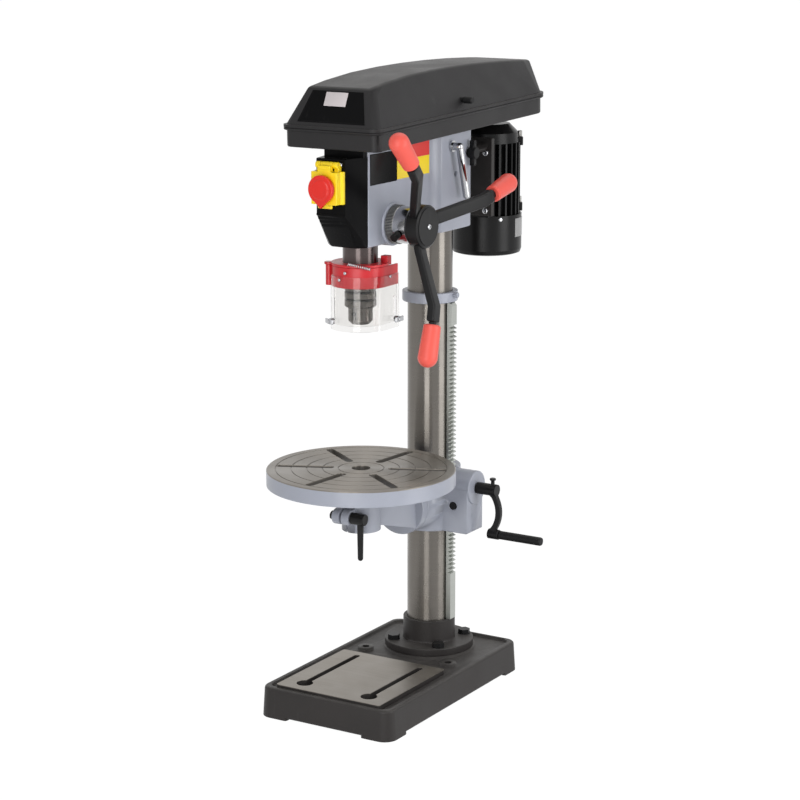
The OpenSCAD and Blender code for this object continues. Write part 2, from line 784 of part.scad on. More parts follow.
module table_lock() {
    right = clamp_x + 15 + face_gap;
    color(satin_black) on_spindle(clamp_z) translate([0, -clamp_y, 0]) {
        translate([clamp_x - 22, 0, 0]) along_x() cylinder(r = 5, h = 48);
        translate([clamp_x - 15 - face_gap - 6, 0, 0]) along_x() cylinder(r = 7.5, h = 6, $fn = 6);
        translate([right, 0, 0]) along_x() cylinder(r = 9, h = 24);
        clamp_lever(right + 15, 61);
    }
}

module table() {
    under = table_top - table_t;
    rim_low = table_top - table_rim_h;
    hub_r = boss_d / 2 + 5;
    hole_r = table_hole_d / 2;
    rim_in = table_r - table_rim_w;
    color(ground_steel) on_spindle() difference() {
        union() {
            rotate_extrude() polygon([
                [hole_r, under], [rim_in, under], [rim_in, rim_low], [table_r, rim_low],
                [table_r, table_top - 1.5], [table_r - 1.5, table_top], [hole_r, table_top]
            ]);
            for (i = [0:table_slots - 1]) rotate(table_slot_turn + (i + 0.5) * 360 / table_slots)
                translate([hub_r + face_gap, -4, rim_low + 3]) cube([rim_in - hub_r, 8, under - rim_low - 3 + cut]);
        }
        for (i = [0:table_slots - 1]) rotate(table_slot_turn + i * 360 / table_slots)
            translate([table_slot_in, 0, under - cut]) linear_extrude(table_t + 2 * cut)
                slot_shape(table_slot_out - table_slot_in, table_slot_w);
        for (i = [0:4]) translate([0, 0, table_top - 1])
            ring(groove_first + i * groove_step + 0.8, groove_first + i * groove_step - 0.8, 2);
    }
}

module table_stem() {
    outer_r = stem_d / 2;
    stem_low = boss_low + 10;
    hub_low = boss_top + face_gap;
    hub_top = table_top - table_t - seat_gap;
    hub_r = boss_d / 2 + 5;
    hole_r = table_hole_d / 2;
    color(cast_grey) on_spindle() rotate_extrude() polygon([
        [hole_r, stem_low], [outer_r, stem_low], [outer_r, hub_low], [hub_r, hub_low],
        [hub_r, hub_top], [hole_r, hub_top]
    ]);
}

// Quill, spindle and chuck

module quill() {
    teeth_low = feed_z - 12;
    count = floor((quill_top - 6 - teeth_low) / feed_pitch);
    color(ground_steel) on_spindle() difference() {
        translate([0, 0, quill_low]) cylinder(r = quill_r, h = quill_l);
        translate([0, 0, quill_low - cut]) cylinder(r = bearing_r - 5, h = quill_l + 2 * cut);
        for (z = [quill_low - cut, quill_top - bearing_w])
            translate([0, 0, z]) cylinder(r = bearing_r + seat_gap, h = bearing_w + cut);
        for (k = [-2:count - 2]) quill_space(feed_z + k * feed_pitch);
    }
}

// One tooth space of the quill's rack, which faces the rear
module quill_space(z) {
    root = 1.25 * feed_module;
    half_root = feed_pitch / 4 + tooth_slack - root * tan(pressure);
    half_out = half_root + 6 * tan(pressure);
    rotate([90, 0, 90]) linear_extrude(2 * quill_r, center = true)
        polygon([[quill_rack_y - root, z - half_root], [quill_rack_y - root + 6, z - half_out],
                 [quill_rack_y - root + 6, z + half_out], [quill_rack_y - root, z + half_root]]);
}

module quill_bearings() {
    color(bright_steel) on_spindle()
        for (z = [quill_low, quill_top - bearing_w]) translate([0, 0, z])
            ring(bearing_r, spindle_seat_r + run_gap, bearing_w);
}

module spindle() {
    taper_low = quill_low - 26;
    color(bright_steel) on_spindle() rotate_extrude() polygon([
        [0, taper_low], [7, taper_low], [8.2, quill_low - 2], [spindle_seat_r, quill_low - 2],
        [spindle_seat_r, quill_top + 2], [spindle_shaft_r, quill_top + 2], [spindle_shaft_r, spindle_top - 1],
        [spindle_shaft_r - 1, spindle_top], [0, spindle_top]
    ]);
}

function jaw_angle(i) = 90 + 120 * i;

module jaw_channel(i, r, from, l) {
    rotate(jaw_angle(i)) translate([jaw_start_r, 0, nose_low]) rotate([0, jaw_slope, 0])
        translate([0, 0, from]) cylinder(r = r, h = l);
}

module chuck_body() {
    key_z = nose_low + 17;
    core_top = quill_low - 2;
    nose_r = chuck_nose_d / 2;
    taper_low = quill_low - 26;
    color(bright_steel) on_spindle() difference() {
        rotate_extrude() polygon([
            [0, nose_low], [nose_r - 5, nose_low], [nose_r, nose_low + 5], [nose_r, sleeve_low_z - 3],
            [chuck_core_r, sleeve_low_z - 3 + cut], [chuck_core_r, core_top], [0, core_top]
        ]);
        translate([0, 0, nose_low - cut]) cylinder(d = chuck_mouth_d, h = 32 + cut);
        translate([0, 0, taper_low - 4]) cylinder(r = 7.2, h = 4 + cut);
        rotate_extrude() polygon([
            [0, taper_low], [7 + seat_gap, taper_low], [8.2 + seat_gap, core_top], [8.2 + seat_gap, core_top + cut],
            [0, core_top + cut]
        ]);
        for (i = [0:2]) {
            jaw_channel(i, jaw_r + run_gap, -12, jaw_l + 14);
            rotate(jaw_angle(i) + 60) translate([chuck_mouth_d / 2 - 2, 0, key_z]) along_x() cylinder(d = 7.4, h = nose_r);
        }
    }
}

module chuck_sleeve() {
    sleeve_r = chuck_sleeve_d / 2;
    sleeve_l = sleeve_top_z - sleeve_low_z;
    color(bright_steel) on_spindle(sleeve_low_z) difference() {
        rotate_extrude() polygon([
            [chuck_core_r + run_gap, 0], [sleeve_r - 2, 0], [sleeve_r, 2], [sleeve_r, sleeve_l * 0.36],
            [sleeve_r - 1.2, sleeve_l * 0.38], [sleeve_r - 1.2, sleeve_l * 0.44], [sleeve_r, sleeve_l * 0.46],
            [sleeve_r, sleeve_l * 0.74], [sleeve_r - 1.2, sleeve_l * 0.76], [sleeve_r - 1.2, sleeve_l * 0.82],
            [sleeve_r, sleeve_l * 0.84], [sleeve_r, sleeve_l - 1.5], [sleeve_r - 1.5, sleeve_l],
            [chuck_core_r + run_gap, sleeve_l]
        ]);
        for (a = [0:15:345]) rotate(a) translate([sleeve_r - 3, -1.3, -cut]) cube([4, 2.6, cut + 3.2]);
    }
}

// A jaw: a round bar in its sloping channel, cut to a third of the circle where the three meet
module jaw(i) {
    apex = jaw_travel * sin(jaw_slope) + face_gap;
    color(bright_steel) on_spindle() intersection() {
        jaw_channel(i, jaw_r, 1.5, jaw_l);
        rotate(jaw_angle(i)) translate([apex, 0, nose_low + 0.5]) linear_extrude(jaw_l)
            polygon([[0, 0], [40, -40 * tan(60)], [40, 40 * tan(60)]]);
    }
}

module jaw_a() { jaw(0); }
module jaw_b() { jaw(1); }
module jaw_c() { jaw(2); }

// Guard

module guard_hinge_place() { rotate(hinge_turn) translate([hinge_r, 0, 0]) children(); }

// Plan of a band that runs from the hinge round the front and straight back on the right
module guard_band(r, t, from) {
    side = r - 0.2;
    steps = 6;
    reach = [for (i = [0:steps]) polar(2 * r, from + (360 - from) * i / steps)];
    intersection() {
        difference() {
            guard_outline(r, side);
            guard_outline(r - t, side - t);
        }
        polygon(concat([[0, guard_back], [0, 0]], reach, [[2 * r, guard_back]]));
    }
}

module guard_outline(r, side) {
    circle(r);
    square([side, guard_back + 2]);
}

module guard_collar() {
    clamp_r = quill_r + 6;
    color(guard_red) on_spindle() difference() {
        union() {
            translate([0, 0, guard_low + 6]) cylinder(r = clamp_r, h = guard_plate_z + guard_plate_t - guard_low - 6);
            translate([0, 0, guard_plate_z]) cylinder(r = guard_r + 0.6, h = guard_plate_t);
            translate([0, 0, guard_plate_z]) guard_hinge_place() cylinder(r = 7, h = guard_plate_t);
            translate([0, 0, guard_plate_z]) rotate(hinge_turn) translate([0, -6, 0]) cube([hinge_r, 12, guard_plate_t]);
            translate([0, 0, guard_low]) guard_hinge_place() cylinder(r = 2.5, h = guard_frame_h + cut);
            translate([guard_r - 14, 10, guard_plate_z]) cube([12, 12, 14]);
            translate([0, 0, guard_low]) linear_extrude(guard_frame_h + cut) intersection() {
                difference() {
                    circle(guard_r);
                    circle(guard_r - 3);
                }
                sector(100, hinge_turn - 12, 2 * guard_r);
            }
        }
        translate([0, 0, guard_low - cut]) cylinder(r = quill_r + seat_gap, h = guard_frame_h + 20);
    }
}

module guard_frame() {
    color(guard_red) on_spindle(guard_low) difference() {
        linear_extrude(guard_frame_h) {
            guard_band(guard_r, 3, hinge_turn + 4);
            guard_hinge_place() circle(5);
        }
        translate([0, 0, -cut]) guard_hinge_place() cylinder(r = 2.5 + run_gap, h = guard_frame_h + 2 * cut);
    }
}

module guard_window() {
    color([0.85, 0.9, 0.92, 0.35]) on_spindle(shield_low + 8)
        linear_extrude(guard_low + 12 - shield_low - 8) guard_band(guard_r - 3 - seat_gap, shield_t, hinge_turn + 14);
}

module guard_shield() {
    shield_r = guard_r + face_gap + shield_t;
    color([0.85, 0.9, 0.92, 0.35]) on_spindle(shield_low) difference() {
        linear_extrude(shield_h) guard_band(shield_r, shield_t, hinge_turn + 14);
        translate([0, guard_back - 12, 12]) shield_slot();
        rotate(240) shield_slot_at(12);
    }
}

module shield_slot() {
    along_x() rotate(90) linear_extrude(2 * guard_r) rotate(90) slot_shape(34, 6);
}

module shield_slot_at(z) { translate([0, 0, z]) shield_slot(); }

// Head casting and its covers

module head_plan() {
    corner = 12;
    polygon([
        [-head_half, -head_front], [head_half, -head_front], [head_half, -64], [head_rear_half, -head_rear_half],
        [head_rear_half, head_back - corner], [head_rear_half - corner, head_back],
        [corner - head_rear_half, head_back], [-head_rear_half, head_back - corner],
        [-head_rear_half, -head_rear_half], [-head_half, -64]
    ]);
    both_sides() translate([head_rear_half - corner, head_back - corner]) circle(corner);
}

module head() {
    color(cast_grey) difference() {
        union() {
            on_column(head_bottom) linear_extrude(tray_rise + 20) head_plan();
            translate([-head_half - 3, feed_y, feed_z]) along_x() cylinder(r = 33, h = 2 * head_half + 6);
        }
        in_housing() translate([-200, -100, 0]) cube([400, 800, 100]);
        on_column(head_bottom - cut) cylinder(r = column_r + seat_gap, h = column_in_head + cut + 1);
        on_spindle(head_bottom - 10) cylinder(r = quill_r + run_gap, h = quill_top - head_bottom + 10 + cut);
        on_spindle(head_bottom) cylinder(r = sleeve_bearing_r + seat_gap, h = tray_rise + 20);
        translate([0, feed_y, feed_z]) along_x() {
            cylinder(r = journal_r + 0.5, h = 31, center = true);
            cylinder(r = journal_r + run_gap, h = 80);
            translate([0, 0, -80]) cylinder(r = small_journal_r + run_gap, h = 80);
        }
        on_column(head_bottom + 14) translate([-head_half + 10, -150, 0]) cube([2 * head_half - 20, 88, tray_rise]);
        for (x = [-1, 1]) translate([x * bar_gauge / 2, column_y - 45, bar_z])
            along_y() cylinder(r = bar_d / 2 + run_gap, h = 120);
        translate([bar_gauge / 2 - 4, lever_y, lever_z]) along_x() cylinder(r = 6 + run_gap, h = 40);
        translate([bar_gauge / 2, lock_y, bar_z]) along_x() cylinder(r = 5 + run_gap, h = 40);
        translate([column_r - 2, column_y - 6, head_bottom + 87]) along_x() cylinder(d = 8, h = 30);
        translate([pivot_x, idler_y, pivot_low - face_gap]) cylinder(r = 8 + run_gap, h = 100);
    }
}

// Outline of the front cover at a height above the head's underside: the face leans back towards the foot
function cover_lean(z) = z < 52 ? (52 - z) / 52 : 0;

module cover_plan(z, inset) {
    lean = cover_lean(z) * (cover_front - head_front - 14);
    half = cover_half - cover_lean(z) * 4 - inset * 0.7;
    polygon([
        [-head_half + inset, -head_front], [-half, lean - cover_front + inset],
        [half, lean - cover_front + inset], [head_half - inset, -head_front]
    ]);
}

module cover_form(inset, low, high) {
    hull() {
        for (z = [low, 52, high - cut]) translate([0, 0, z]) linear_extrude(cut) cover_plan(z, inset);
    }
}

module front_cover() {
    color(satin_black) on_column(head_bottom) {
        difference() {
            union() {
                cover_form(0, 0, cover_h);
                for (i = [0:3]) translate([0, 0, 33 + 6 * i]) linear_extrude(3) intersection() {
                    translate([0, -1.6]) cover_plan(33 + 6 * i, 0);
                    translate([-cover_half, -cover_front - 5]) square([2 * cover_half, cover_front - head_front + 3]);
                }
            }
            cover_form(cover_wall, cover_wall, cover_h + 2 * cut);
            translate([-cover_half - 20, -head_front, -cut]) cube([2 * cover_half + 40, 20, cover_h + 4]);
        }
        translate([0, 0, cover_h - cover_wall]) linear_extrude(cover_wall) cover_plan(cover_h, 0);
        translate([1 - head_half, -head_front - 12, cover_h - cut])
            cube([2 * head_half - 2, 12, tray_rise + 0.8 - cover_h + cut]);
    }
}

module switch_box() {
    color(switch_yellow) on_column(head_bottom + switch_rise) difference() {
        translate([-switch_w / 2, -cover_front - 8, 0]) cube([switch_w, 8, switch_h]);
        translate([0, -cover_front - 9, switch_h / 2]) along_y() cylinder(r = 9.3, h = 7);
        both_sides() translate([switch_w / 2, -cover_front - 8, switch_h / 2])
            rotate(45) cube([4, 4, 2 * switch_h], center = true);
    }
    color(switch_yellow) on_column(head_bottom + switch_rise + switch_h)
        both_sides() translate([11, -cover_front - 13, 0]) difference() {
            union() {
                translate([0, 5, -2]) cube([8, 8, 8]);
                translate([0, 0, 9]) translate([0, 5, 0]) along_x() cylinder(r = 5, h = 8);
                translate([0, 5, 4]) cube([8, 8, 6]);
            }
            translate([-cut, 5, 9]) along_x() cylinder(r = 2 + run_gap, h = 10);
        }
}

module switch_flap() {
    back = flap_y - face_gap;
    color(switch_yellow) {
        difference() {
            translate([-switch_w / 2 + 3, back - flap_d, flap_z - switch_h - 9]) cube([switch_w - 6, flap_d, switch_h]);
            translate([-switch_w / 2 + 5, back - 9, flap_z - switch_h - 7]) cube([switch_w - 10, 12, switch_h - 4]);
            translate([0, back, flap_z - switch_h / 2 - 10]) along_y() cylinder(r = stem_r + run_gap, h = 40, center = true);
        }
        translate([-10.5, back - flap_d, flap_z - 11]) cube([21, flap_d - 2 * face_gap, 6]);
        translate([-10.5, flap_y, flap_z]) along_x() cylinder(r = 5, h = 21);
        translate([-10.5, back - 10.5, flap_z - 7]) cube([21, 8, 7]);
        translate([-19, flap_y, flap_z]) along_x() cylinder(r = 2, h = 38);
        translate([-12, back - 9, flap_z - switch_h - 15]) cube([24, 4, 7]);
    }
}

// The stop paddle: a round disc drawn out to a point at the foot, on a stem through the flap
module stop_paddle() {
    front = flap_y - face_gap - flap_d - paddle_travel - face_gap;
    color([0.9, 0.15, 0.1]) translate([0, front, flap_z - switch_h / 2 - 10]) {
        rotate([90, 0, 0]) {
            linear_extrude(7) {
                circle(21);
                polygon([[-17.8, -11], [0, -28], [17.8, -11]]);
            }
            translate([0, 0, 6]) cylinder(r1 = 17, r2 = 13, h = 3);
        }
        along_y() cylinder(r = stem_r, h = paddle_travel + 4);
    }
}

module start_button() {
    color([0.1, 0.6, 0.25]) translate([0, column_y - cover_front - 8, head_bottom + switch_rise + switch_h / 2])
        along_y() translate([0, 0, -3]) cylinder(r = 9, h = 6);
}

// Belt housing

module tray_outline(inset) {
    w = tray_w - 2 * inset;
    l = tray_l - 2 * inset;
    front_r = 12 - inset;
    rear_r = 38 - inset;
    translate([0, inset]) {
        translate([-w / 2, front_r]) square([w, l - front_r - rear_r]);
        translate([front_r - w / 2, 0]) square([w - 2 * front_r, 2 * front_r]);
        translate([rear_r - w / 2, l - 2 * rear_r]) square([w - 2 * rear_r, 2 * rear_r]);
        both_sides() translate([w / 2 - front_r, front_r]) circle(front_r);
        both_sides() translate([w / 2 - rear_r, l - rear_r]) circle(rear_r);
    }
}

module rim_band() {
    linear_extrude(rim_h) difference() {
        tray_outline(-rim_out);
        tray_outline(housing_wall);
    }
}

module knuckle(y, l) {
    translate([knuckle_x, y, tray_h]) along_y() cylinder(r = knuckle_r, h = l);
}

module belt_tray() {
    color(charcoal) difference() {
        in_housing() difference() {
            union() {
                linear_extrude(tray_h) tray_outline(0);
                translate([0, 0, tray_h - rim_h]) rim_band();
                for (y = hinge_places) {
                    knuckle(y, knuckle_l);
                    translate([knuckle_x, y, tray_h - knuckle_r]) cube([2 * knuckle_r, knuckle_l, knuckle_r]);
                    translate([knuckle_x, y - 13, tray_h]) along_y() cylinder(d = lid_pin_d, h = knuckle_l + 26);
                }
            }
            translate([0, 0, housing_wall]) linear_extrude(tray_h) tray_outline(housing_wall);
        }
        on_spindle(head_bottom + tray_rise - 20) cylinder(r = sleeve_bearing_r + 6, h = 60);
        translate([pivot_x, idler_y, head_bottom + tray_rise - 20]) cylinder(r = 12, h = 60);
        on_motor(head_bottom + tray_rise - 20) linear_extrude(80)
            translate([0, -motor_travel - 5]) rotate(90) slot_shape(motor_travel + 10, 44);
    }
}

// Height of the roof along the housing: highest ahead of the middle, and falling slower to the rear
function roof_z(y) = roof_h - (y - roof_mid) * (y - roof_mid) / (y < roof_mid ? 2910 : 6940);

module lid_form(inset) {
    top = roof_half - inset * 0.8;
    low = inset == 0 ? tray_h : tray_h - cut;
    hull() {
        translate([0, 0, low]) linear_extrude(rim_h + cut) tray_outline(inset);
        for (y = [69:70:489]) translate([-top, y - cut / 2, roof_z(y) - inset - cut]) cube([2 * top, cut, cut]);
        translate([-top, 27 + inset, 87 - inset]) cube([2 * top, cut, cut]);
        translate([-top - 8, 38 + inset, 75.5 - inset]) cube([2 * top + 16, cut, cut]);
        translate([-top + 2, tray_l - 10 - inset, roof_z(tray_l - 10) - inset - cut]) cube([2 * top - 4, cut, cut]);
    }
}

module belt_lid() {
    color(charcoal) in_housing() difference() {
        union() {
            lid_form(0);
            translate([0, 0, tray_h + face_gap]) rim_band();
            for (y = hinge_places, side = [0, 1]) {
                end = side == 0 ? y - 12 - face_gap : y + knuckle_l + face_gap;
                knuckle(end, 12);
                translate([knuckle_x, end, tray_h + face_gap]) cube([2 * knuckle_r, 12, knuckle_r - face_gap]);
            }
        }
        lid_form(housing_wall);
        translate([-200, -100, tray_h - 100 + face_gap]) cube([400 - 200 + tray_w, 800, 100 - knuckle_r]);
        translate([-tray_w / 2 - rim_out, -100, tray_h - 20]) cube([tray_w + 40, 800, 20 + face_gap]);
        for (y = hinge_places) translate([knuckle_x, y - 20, tray_h])
            along_y() cylinder(r = lid_pin_d / 2 + run_gap, h = knuckle_l + 40);
        translate([tray_w / 2 - 30, knob_y, knob_z]) along_x() cylinder(r = 4 + seat_gap, h = 60);
    }
}

module lid_knob() {
    color(satin_black) in_housing() translate([knob_x, knob_y, knob_z]) along_x() {
        translate([0, 0, -8]) cylinder(r = 4, h = 12);
        translate([0, 0, 3]) rotate_extrude() polygon([[0, 0], [4.5, 0], [5.5, 2], [5.5, 14], [4.5, 16], [0, 16]]);
    }
}

// Pulleys, belts and motor

module step_pulley(steps, bore) {
    rotate_extrude() difference() {
        for (i = [0:len(steps) - 1]) translate([bore, i * step_h]) square([steps[i] - bore, step_h]);
        for (i = [0:len(steps) - 1]) translate([steps[i], (i + 0.5) * step_h])
            polygon([[0.1, -6.5], [0.1, 6.5], [-groove_depth, 4.9], [-groove_depth, -4.9]]);
    }
}

module vee_belt(level, y1, r1, y2, r2) {
    module loop(grow) {
        hull() {
            translate([0, y1]) circle(r1 - groove_depth + 0.5 + grow, $fn = 48);
            translate([0, y2]) circle(r2 - groove_depth + 0.5 + grow, $fn = 48);
        }
    }
    translate([0, 0, pulley_z + (level + 0.5) * step_h - belt_w / 2]) linear_extrude(belt_w) difference() {
        loop(belt_t);
        loop(0);
    }
}

module belts() {
    color(satin_black) vee_belt(1, spindle_y, spindle_steps[1], idler_y, idler_steps[1]);
    color(satin_black) vee_belt(2, idler_y, idler_steps[2], motor_y, motor_steps[2]);
}

module spindle_pulley() {
    bore = spindle_shaft_r + run_gap;
    color([0.7, 0.7, 0.72]) on_spindle() {
        translate([0, 0, pulley_z]) step_pulley(spindle_steps, bore);
        translate([0, 0, pulley_sleeve_low]) ring(pulley_sleeve_r, bore, pulley_z - pulley_sleeve_low + cut);
    }
}

module pulley_bearings() {
    color(bright_steel) on_spindle()
        for (z = [pulley_sleeve_low, pulley_sleeve_low + bearing_w + 2]) translate([0, 0, z])
            ring(sleeve_bearing_r, pulley_sleeve_r + run_gap, bearing_w - 2);
}

module idler_arm() {
    arm_z = pulley_z - 6;
    color(bright_steel) {
        translate([pivot_x, idler_y, pivot_low]) cylinder(r = 8, h = arm_z - pivot_low + cut);
        translate([pivot_x, idler_y, arm_z]) linear_extrude(6 - face_gap) slot_shape(-pivot_x, 22);
        translate([0, idler_y, arm_z]) cylinder(r = 8, h = 6 + pulley_h - 2);
    }
}

module idler_pulley() {
    color([0.7, 0.7, 0.72]) translate([0, idler_y, pulley_z]) step_pulley(idler_steps, 8 + run_gap);
}

// Section of the motor's body: fins round a core, a flat strip for the cover bolts and a pad for the mount
module motor_section(core_r) {
    circle(core_r);
    for (i = [0:motor_fins - 1]) rotate(i * 360 / motor_fins)
        translate([core_r - 2, -1.5]) square([motor_r - core_r + 2, 3]);
    rotate(-59) translate([core_r - 6, -11]) square([15, 22]);
    translate([-35, -motor_r - 4]) square([70, 30]);
}

module motor_body() {
    shield_z = motor_low + motor_body_h;
    core_r = motor_r - 8;
    color(satin_black) on_motor() difference() {
        union() {
            translate([0, 0, motor_low]) linear_extrude(motor_body_h) motor_section(core_r);
            translate([0, 0, shield_z]) cylinder(r1 = motor_r - 2, r2 = motor_r - 4, h = 16);
            translate([0, 0, shield_z + 16]) cylinder(r1 = motor_r - 4, r2 = motor_r - 18, h = 14);
        }
        translate([0, 0, shield_z - 20]) cylinder(r = 10 + run_gap, h = 60);
        translate([0, 0, motor_low - cut]) cylinder(r = core_r - 6, h = motor_body_h - 10);
    }
}

module fan_cover() {
    color(satin_black) on_motor(fan_low) difference() {
        rotate_extrude() polygon([[0, 0], [fan_r - 8, 0], [fan_r - 2, 2], [fan_r, 8], [fan_r, fan_h], [0, fan_h]]);
        translate([0, 0, 3]) cylinder(r = fan_r - 3, h = fan_h);
        for (r = [14:8:46]) for (a = [0:60:300]) rotate(a) translate([0, 0, -cut]) linear_extrude(6) intersection() {
            difference() {
                circle(r + 1.6);
                circle(r - 1.6);
            }
            sector(8, 52, 80);
        }
    }
}

module motor_mount() {
    plate_y = column_y + plate_front;
    color([0.16, 0.16, 0.17]) {
        difference() {
            translate([-46, plate_y, motor_low + 4]) cube([92, 10 - seat_gap, bar_z + 14 - motor_low - 4]);
            for (x = [-1, 1]) translate([x * bar_gauge / 2, plate_y - cut, bar_z]) along_y() cylinder(d = bar_d, h = 4);
        }
        for (x = [-1, 1]) translate([x * bar_gauge / 2, column_y - 20, bar_z])
            along_y() cylinder(d = bar_d, h = plate_front + 20 + 3);
    }
}

module motor_shaft() {
    shield_z = motor_low + motor_body_h;
    color(bright_steel) on_motor() {
        translate([0, 0, motor_low - 30]) cylinder(r = 9, h = shield_z - motor_low + 20);
        translate([0, 0, motor_low + 20]) cylinder(r = motor_r - 18, h = motor_body_h - 50);
        translate([0, 0, shield_z - 20]) cylinder(r = 10, h = pulley_z + pulley_h - 4 - shield_z + 20);
        translate([0, 0, motor_low - 34]) linear_extrude(20) {
            circle(16);
            for (a = [0:60:300]) rotate(a) translate([0, -1.5]) square([fan_r - 10, 3]);
        }
    }
}

module motor_pulley() {
    color([0.7, 0.7, 0.72]) on_motor(pulley_z) step_pulley(motor_steps, 10 + seat_gap);
}

// A bent rod: across through the head's side, then down and to the rear
module tension_lever() {
    reach = head_rear_half + 14;
    drop = 78;
    lean = 16;
    color(bright_steel) translate([0, lever_y, lever_z]) {
        translate([bar_gauge / 2 - 2, 0, 0]) along_x() cylinder(r = 6, h = reach - bar_gauge / 2 + 2);
        translate([head_rear_half + face_gap, 0, 0]) along_x() cylinder(r = 9, h = 3);
        translate([reach, 0, 0]) sphere(r = 6);
        translate([reach, 0, 0]) rotate([lean, 0, 0]) translate([0, 0, -drop / cos(lean)]) {
            cylinder(r = 5.75, h = drop / cos(lean));
            sphere(r = 5.75);
        }
    }
}

module motor_lock() {
    knob_x = head_rear_half + 2;
    color(satin_black) translate([0, lock_y, bar_z]) {
        translate([bar_gauge / 2 + bar_d / 2 + face_gap, 0, 0]) along_x()
            cylinder(r = 5, h = knob_x - bar_gauge / 2 - bar_d / 2);
        translate([knob_x, 0, 0]) along_x() cylinder(r = 9, h = 13);
        translate([knob_x + 6, 0, 0]) cube([8, 7, 40], center = true);
    }
}

// Feed handle

module spring_case() {
    outer = head_half + 3;
    color(charcoal) translate([-outer, feed_y, feed_z]) rotate([0, -90, 0]) difference() {
        rotate_extrude() polygon([[0, 0], [30, 0], [30, 18], [27, 21], [0, 21]]);
        translate([0, 0, -cut]) cylinder(r = 27, h = 18 + cut);
        cylinder(r = small_journal_r + run_gap, h = 19);
    }
}

// A flat spiral spring, drawn as one long outline
module return_spring() {
    turns = 4;
    per_turn = 16;
    count = turns * per_turn;
    inner = [for (i = [0:count]) polar(12.4 + 13.5 * i / count, 360 * i / per_turn)];
    outer = [for (i = [0:count]) polar(13.4 + 13.5 * i / count, 360 * i / per_turn)];
    color(bright_steel) translate([-head_half - 3 - 4, feed_y, feed_z]) rotate([0, -90, 0]) linear_extrude(11)
        polygon(concat(inner, [for (i = [count:-1:0]) outer[i]]));
}

module feed_shaft() {
    half = 14;
    pinion_z = half + face_gap;
    color(bright_steel) translate([0, feed_y, feed_z]) along_x() {
        rotate(90) linear_extrude(2 * half, center = true) rotate(180) polygon(gear_outline(feed_teeth, feed_module));
        translate([0, 0, -head_half - 3 - 17]) cylinder(r = small_journal_r, h = head_half + 20);
        translate([0, 0, pinion_z]) cylinder(r = journal_r, h = head_half + 3 - pinion_z);
        cylinder(r = hub_seat_r, h = hub_face - 4);
    }
}

module feed_hub() {
    sleeve_back = head_half + 3 + face_gap;
    color(satin_black) translate([0, feed_y, feed_z]) along_x() difference() {
        union() {
            translate([0, 0, hub_back]) rotate_extrude()
                polygon([[0, 0], [hub_r - 4, 0], [hub_r, 4], [hub_r, hub_t - 3], [hub_r - 3, hub_t - 1], [0, hub_t - 1]]);
            translate([0, 0, hub_face - 2]) cylinder(r = hub_r - 4, h = 2);
            translate([0, 0, sleeve_back]) cylinder(r = 18, h = hub_back - sleeve_back + cut);
        }
        translate([0, 0, sleeve_back - cut]) cylinder(r = hub_seat_r + seat_gap, h = hub_face - 4 - sleeve_back + cut + seat_gap);
        for (i = [0:2]) rotate(arm_angle(i)) arm_socket();
    }
}

// The arms are counted from upright towards the rear, seen from the right
function arm_angle(i) = 180 - arm_turn - 120 * i;

module arm_socket() {
    translate([14, -10 - seat_gap, hub_back + 9 - seat_gap]) cube([40, 20 + 2 * seat_gap, 12 + 2 * seat_gap]);
}

module feed_arms() {
    root_r = 14 + seat_gap;
    color(satin_black) translate([0, feed_y, feed_z]) along_x() for (i = [0:2]) rotate(arm_angle(i)) {
        translate([0, 10, hub_back + 9]) rotate([90, 0, 0]) linear_extrude(20) polygon([
            [root_r, 0], [hub_r + 3, 0], [118, arm_splay - 2], [grip_tip_r - grip_l - 4, arm_splay - 0.8],
            [grip_tip_r - grip_l - 4, arm_splay + 12.8], [115, arm_splay + 11], [hub_r + 1, 12], [root_r, 12]
        ]);
        translate([grip_tip_r - grip_l - 7, 0, hub_back + 9 + arm_splay + 6]) along_x() cylinder(r = 6, h = grip_l - 7);
    }
}

module feed_grips() {
    color(grip_red) translate([0, feed_y, feed_z]) along_x() for (i = [0:2]) rotate(arm_angle(i))
        translate([grip_tip_r - grip_l, 0, hub_back + 9 + arm_splay + 6]) along_x() difference() {
            rotate_extrude() difference() {
                union() {
                    polygon([[0, 0], [grip_r - 4, 0], [grip_r - 2, 2], [grip_r, grip_l - grip_r], [0, grip_l - grip_r]]);
                    translate([0, grip_l - grip_r]) intersection() {
                        circle(grip_r);
                        square(2 * grip_r);
                    }
                }
            }
            translate([0, 0, -cut]) cylinder(r = 6 + seat_gap, h = grip_l - 14 + cut + seat_gap);
        }
}

module depth_ring() {
    back = head_half + 3 + 2 * face_gap;
    wide = hub_back - back - face_gap;
    color(bright_steel) translate([0, feed_y, feed_z]) along_x() difference() {
        translate([0, 0, back]) rotate_extrude() polygon([
            [18 + run_gap, 0], [depth_r, 0], [depth_r, wide * 0.3], [depth_r - 1.5, wide * 0.36],
            [depth_r - 1.5, wide - 1], [depth_r - 2.5, wide], [18 + run_gap, wide]
        ]);
        depth_lock_place() cylinder(r = 3 + run_gap, h = depth_r);
    }
}

module depth_lock_place() {
    translate([0, 0, hub_back - 13]) rotate(22) rotate([90, 0, 0]) children();
}

module depth_lock() {
    color(satin_black) translate([0, feed_y, feed_z]) along_x() depth_lock_place() {
        translate([0, 0, 18 + face_gap]) cylinder(r = 3, h = depth_r - 16);
        translate([0, 0, depth_r + 0.5]) cylinder(r = 6, h = 11);
    }
}

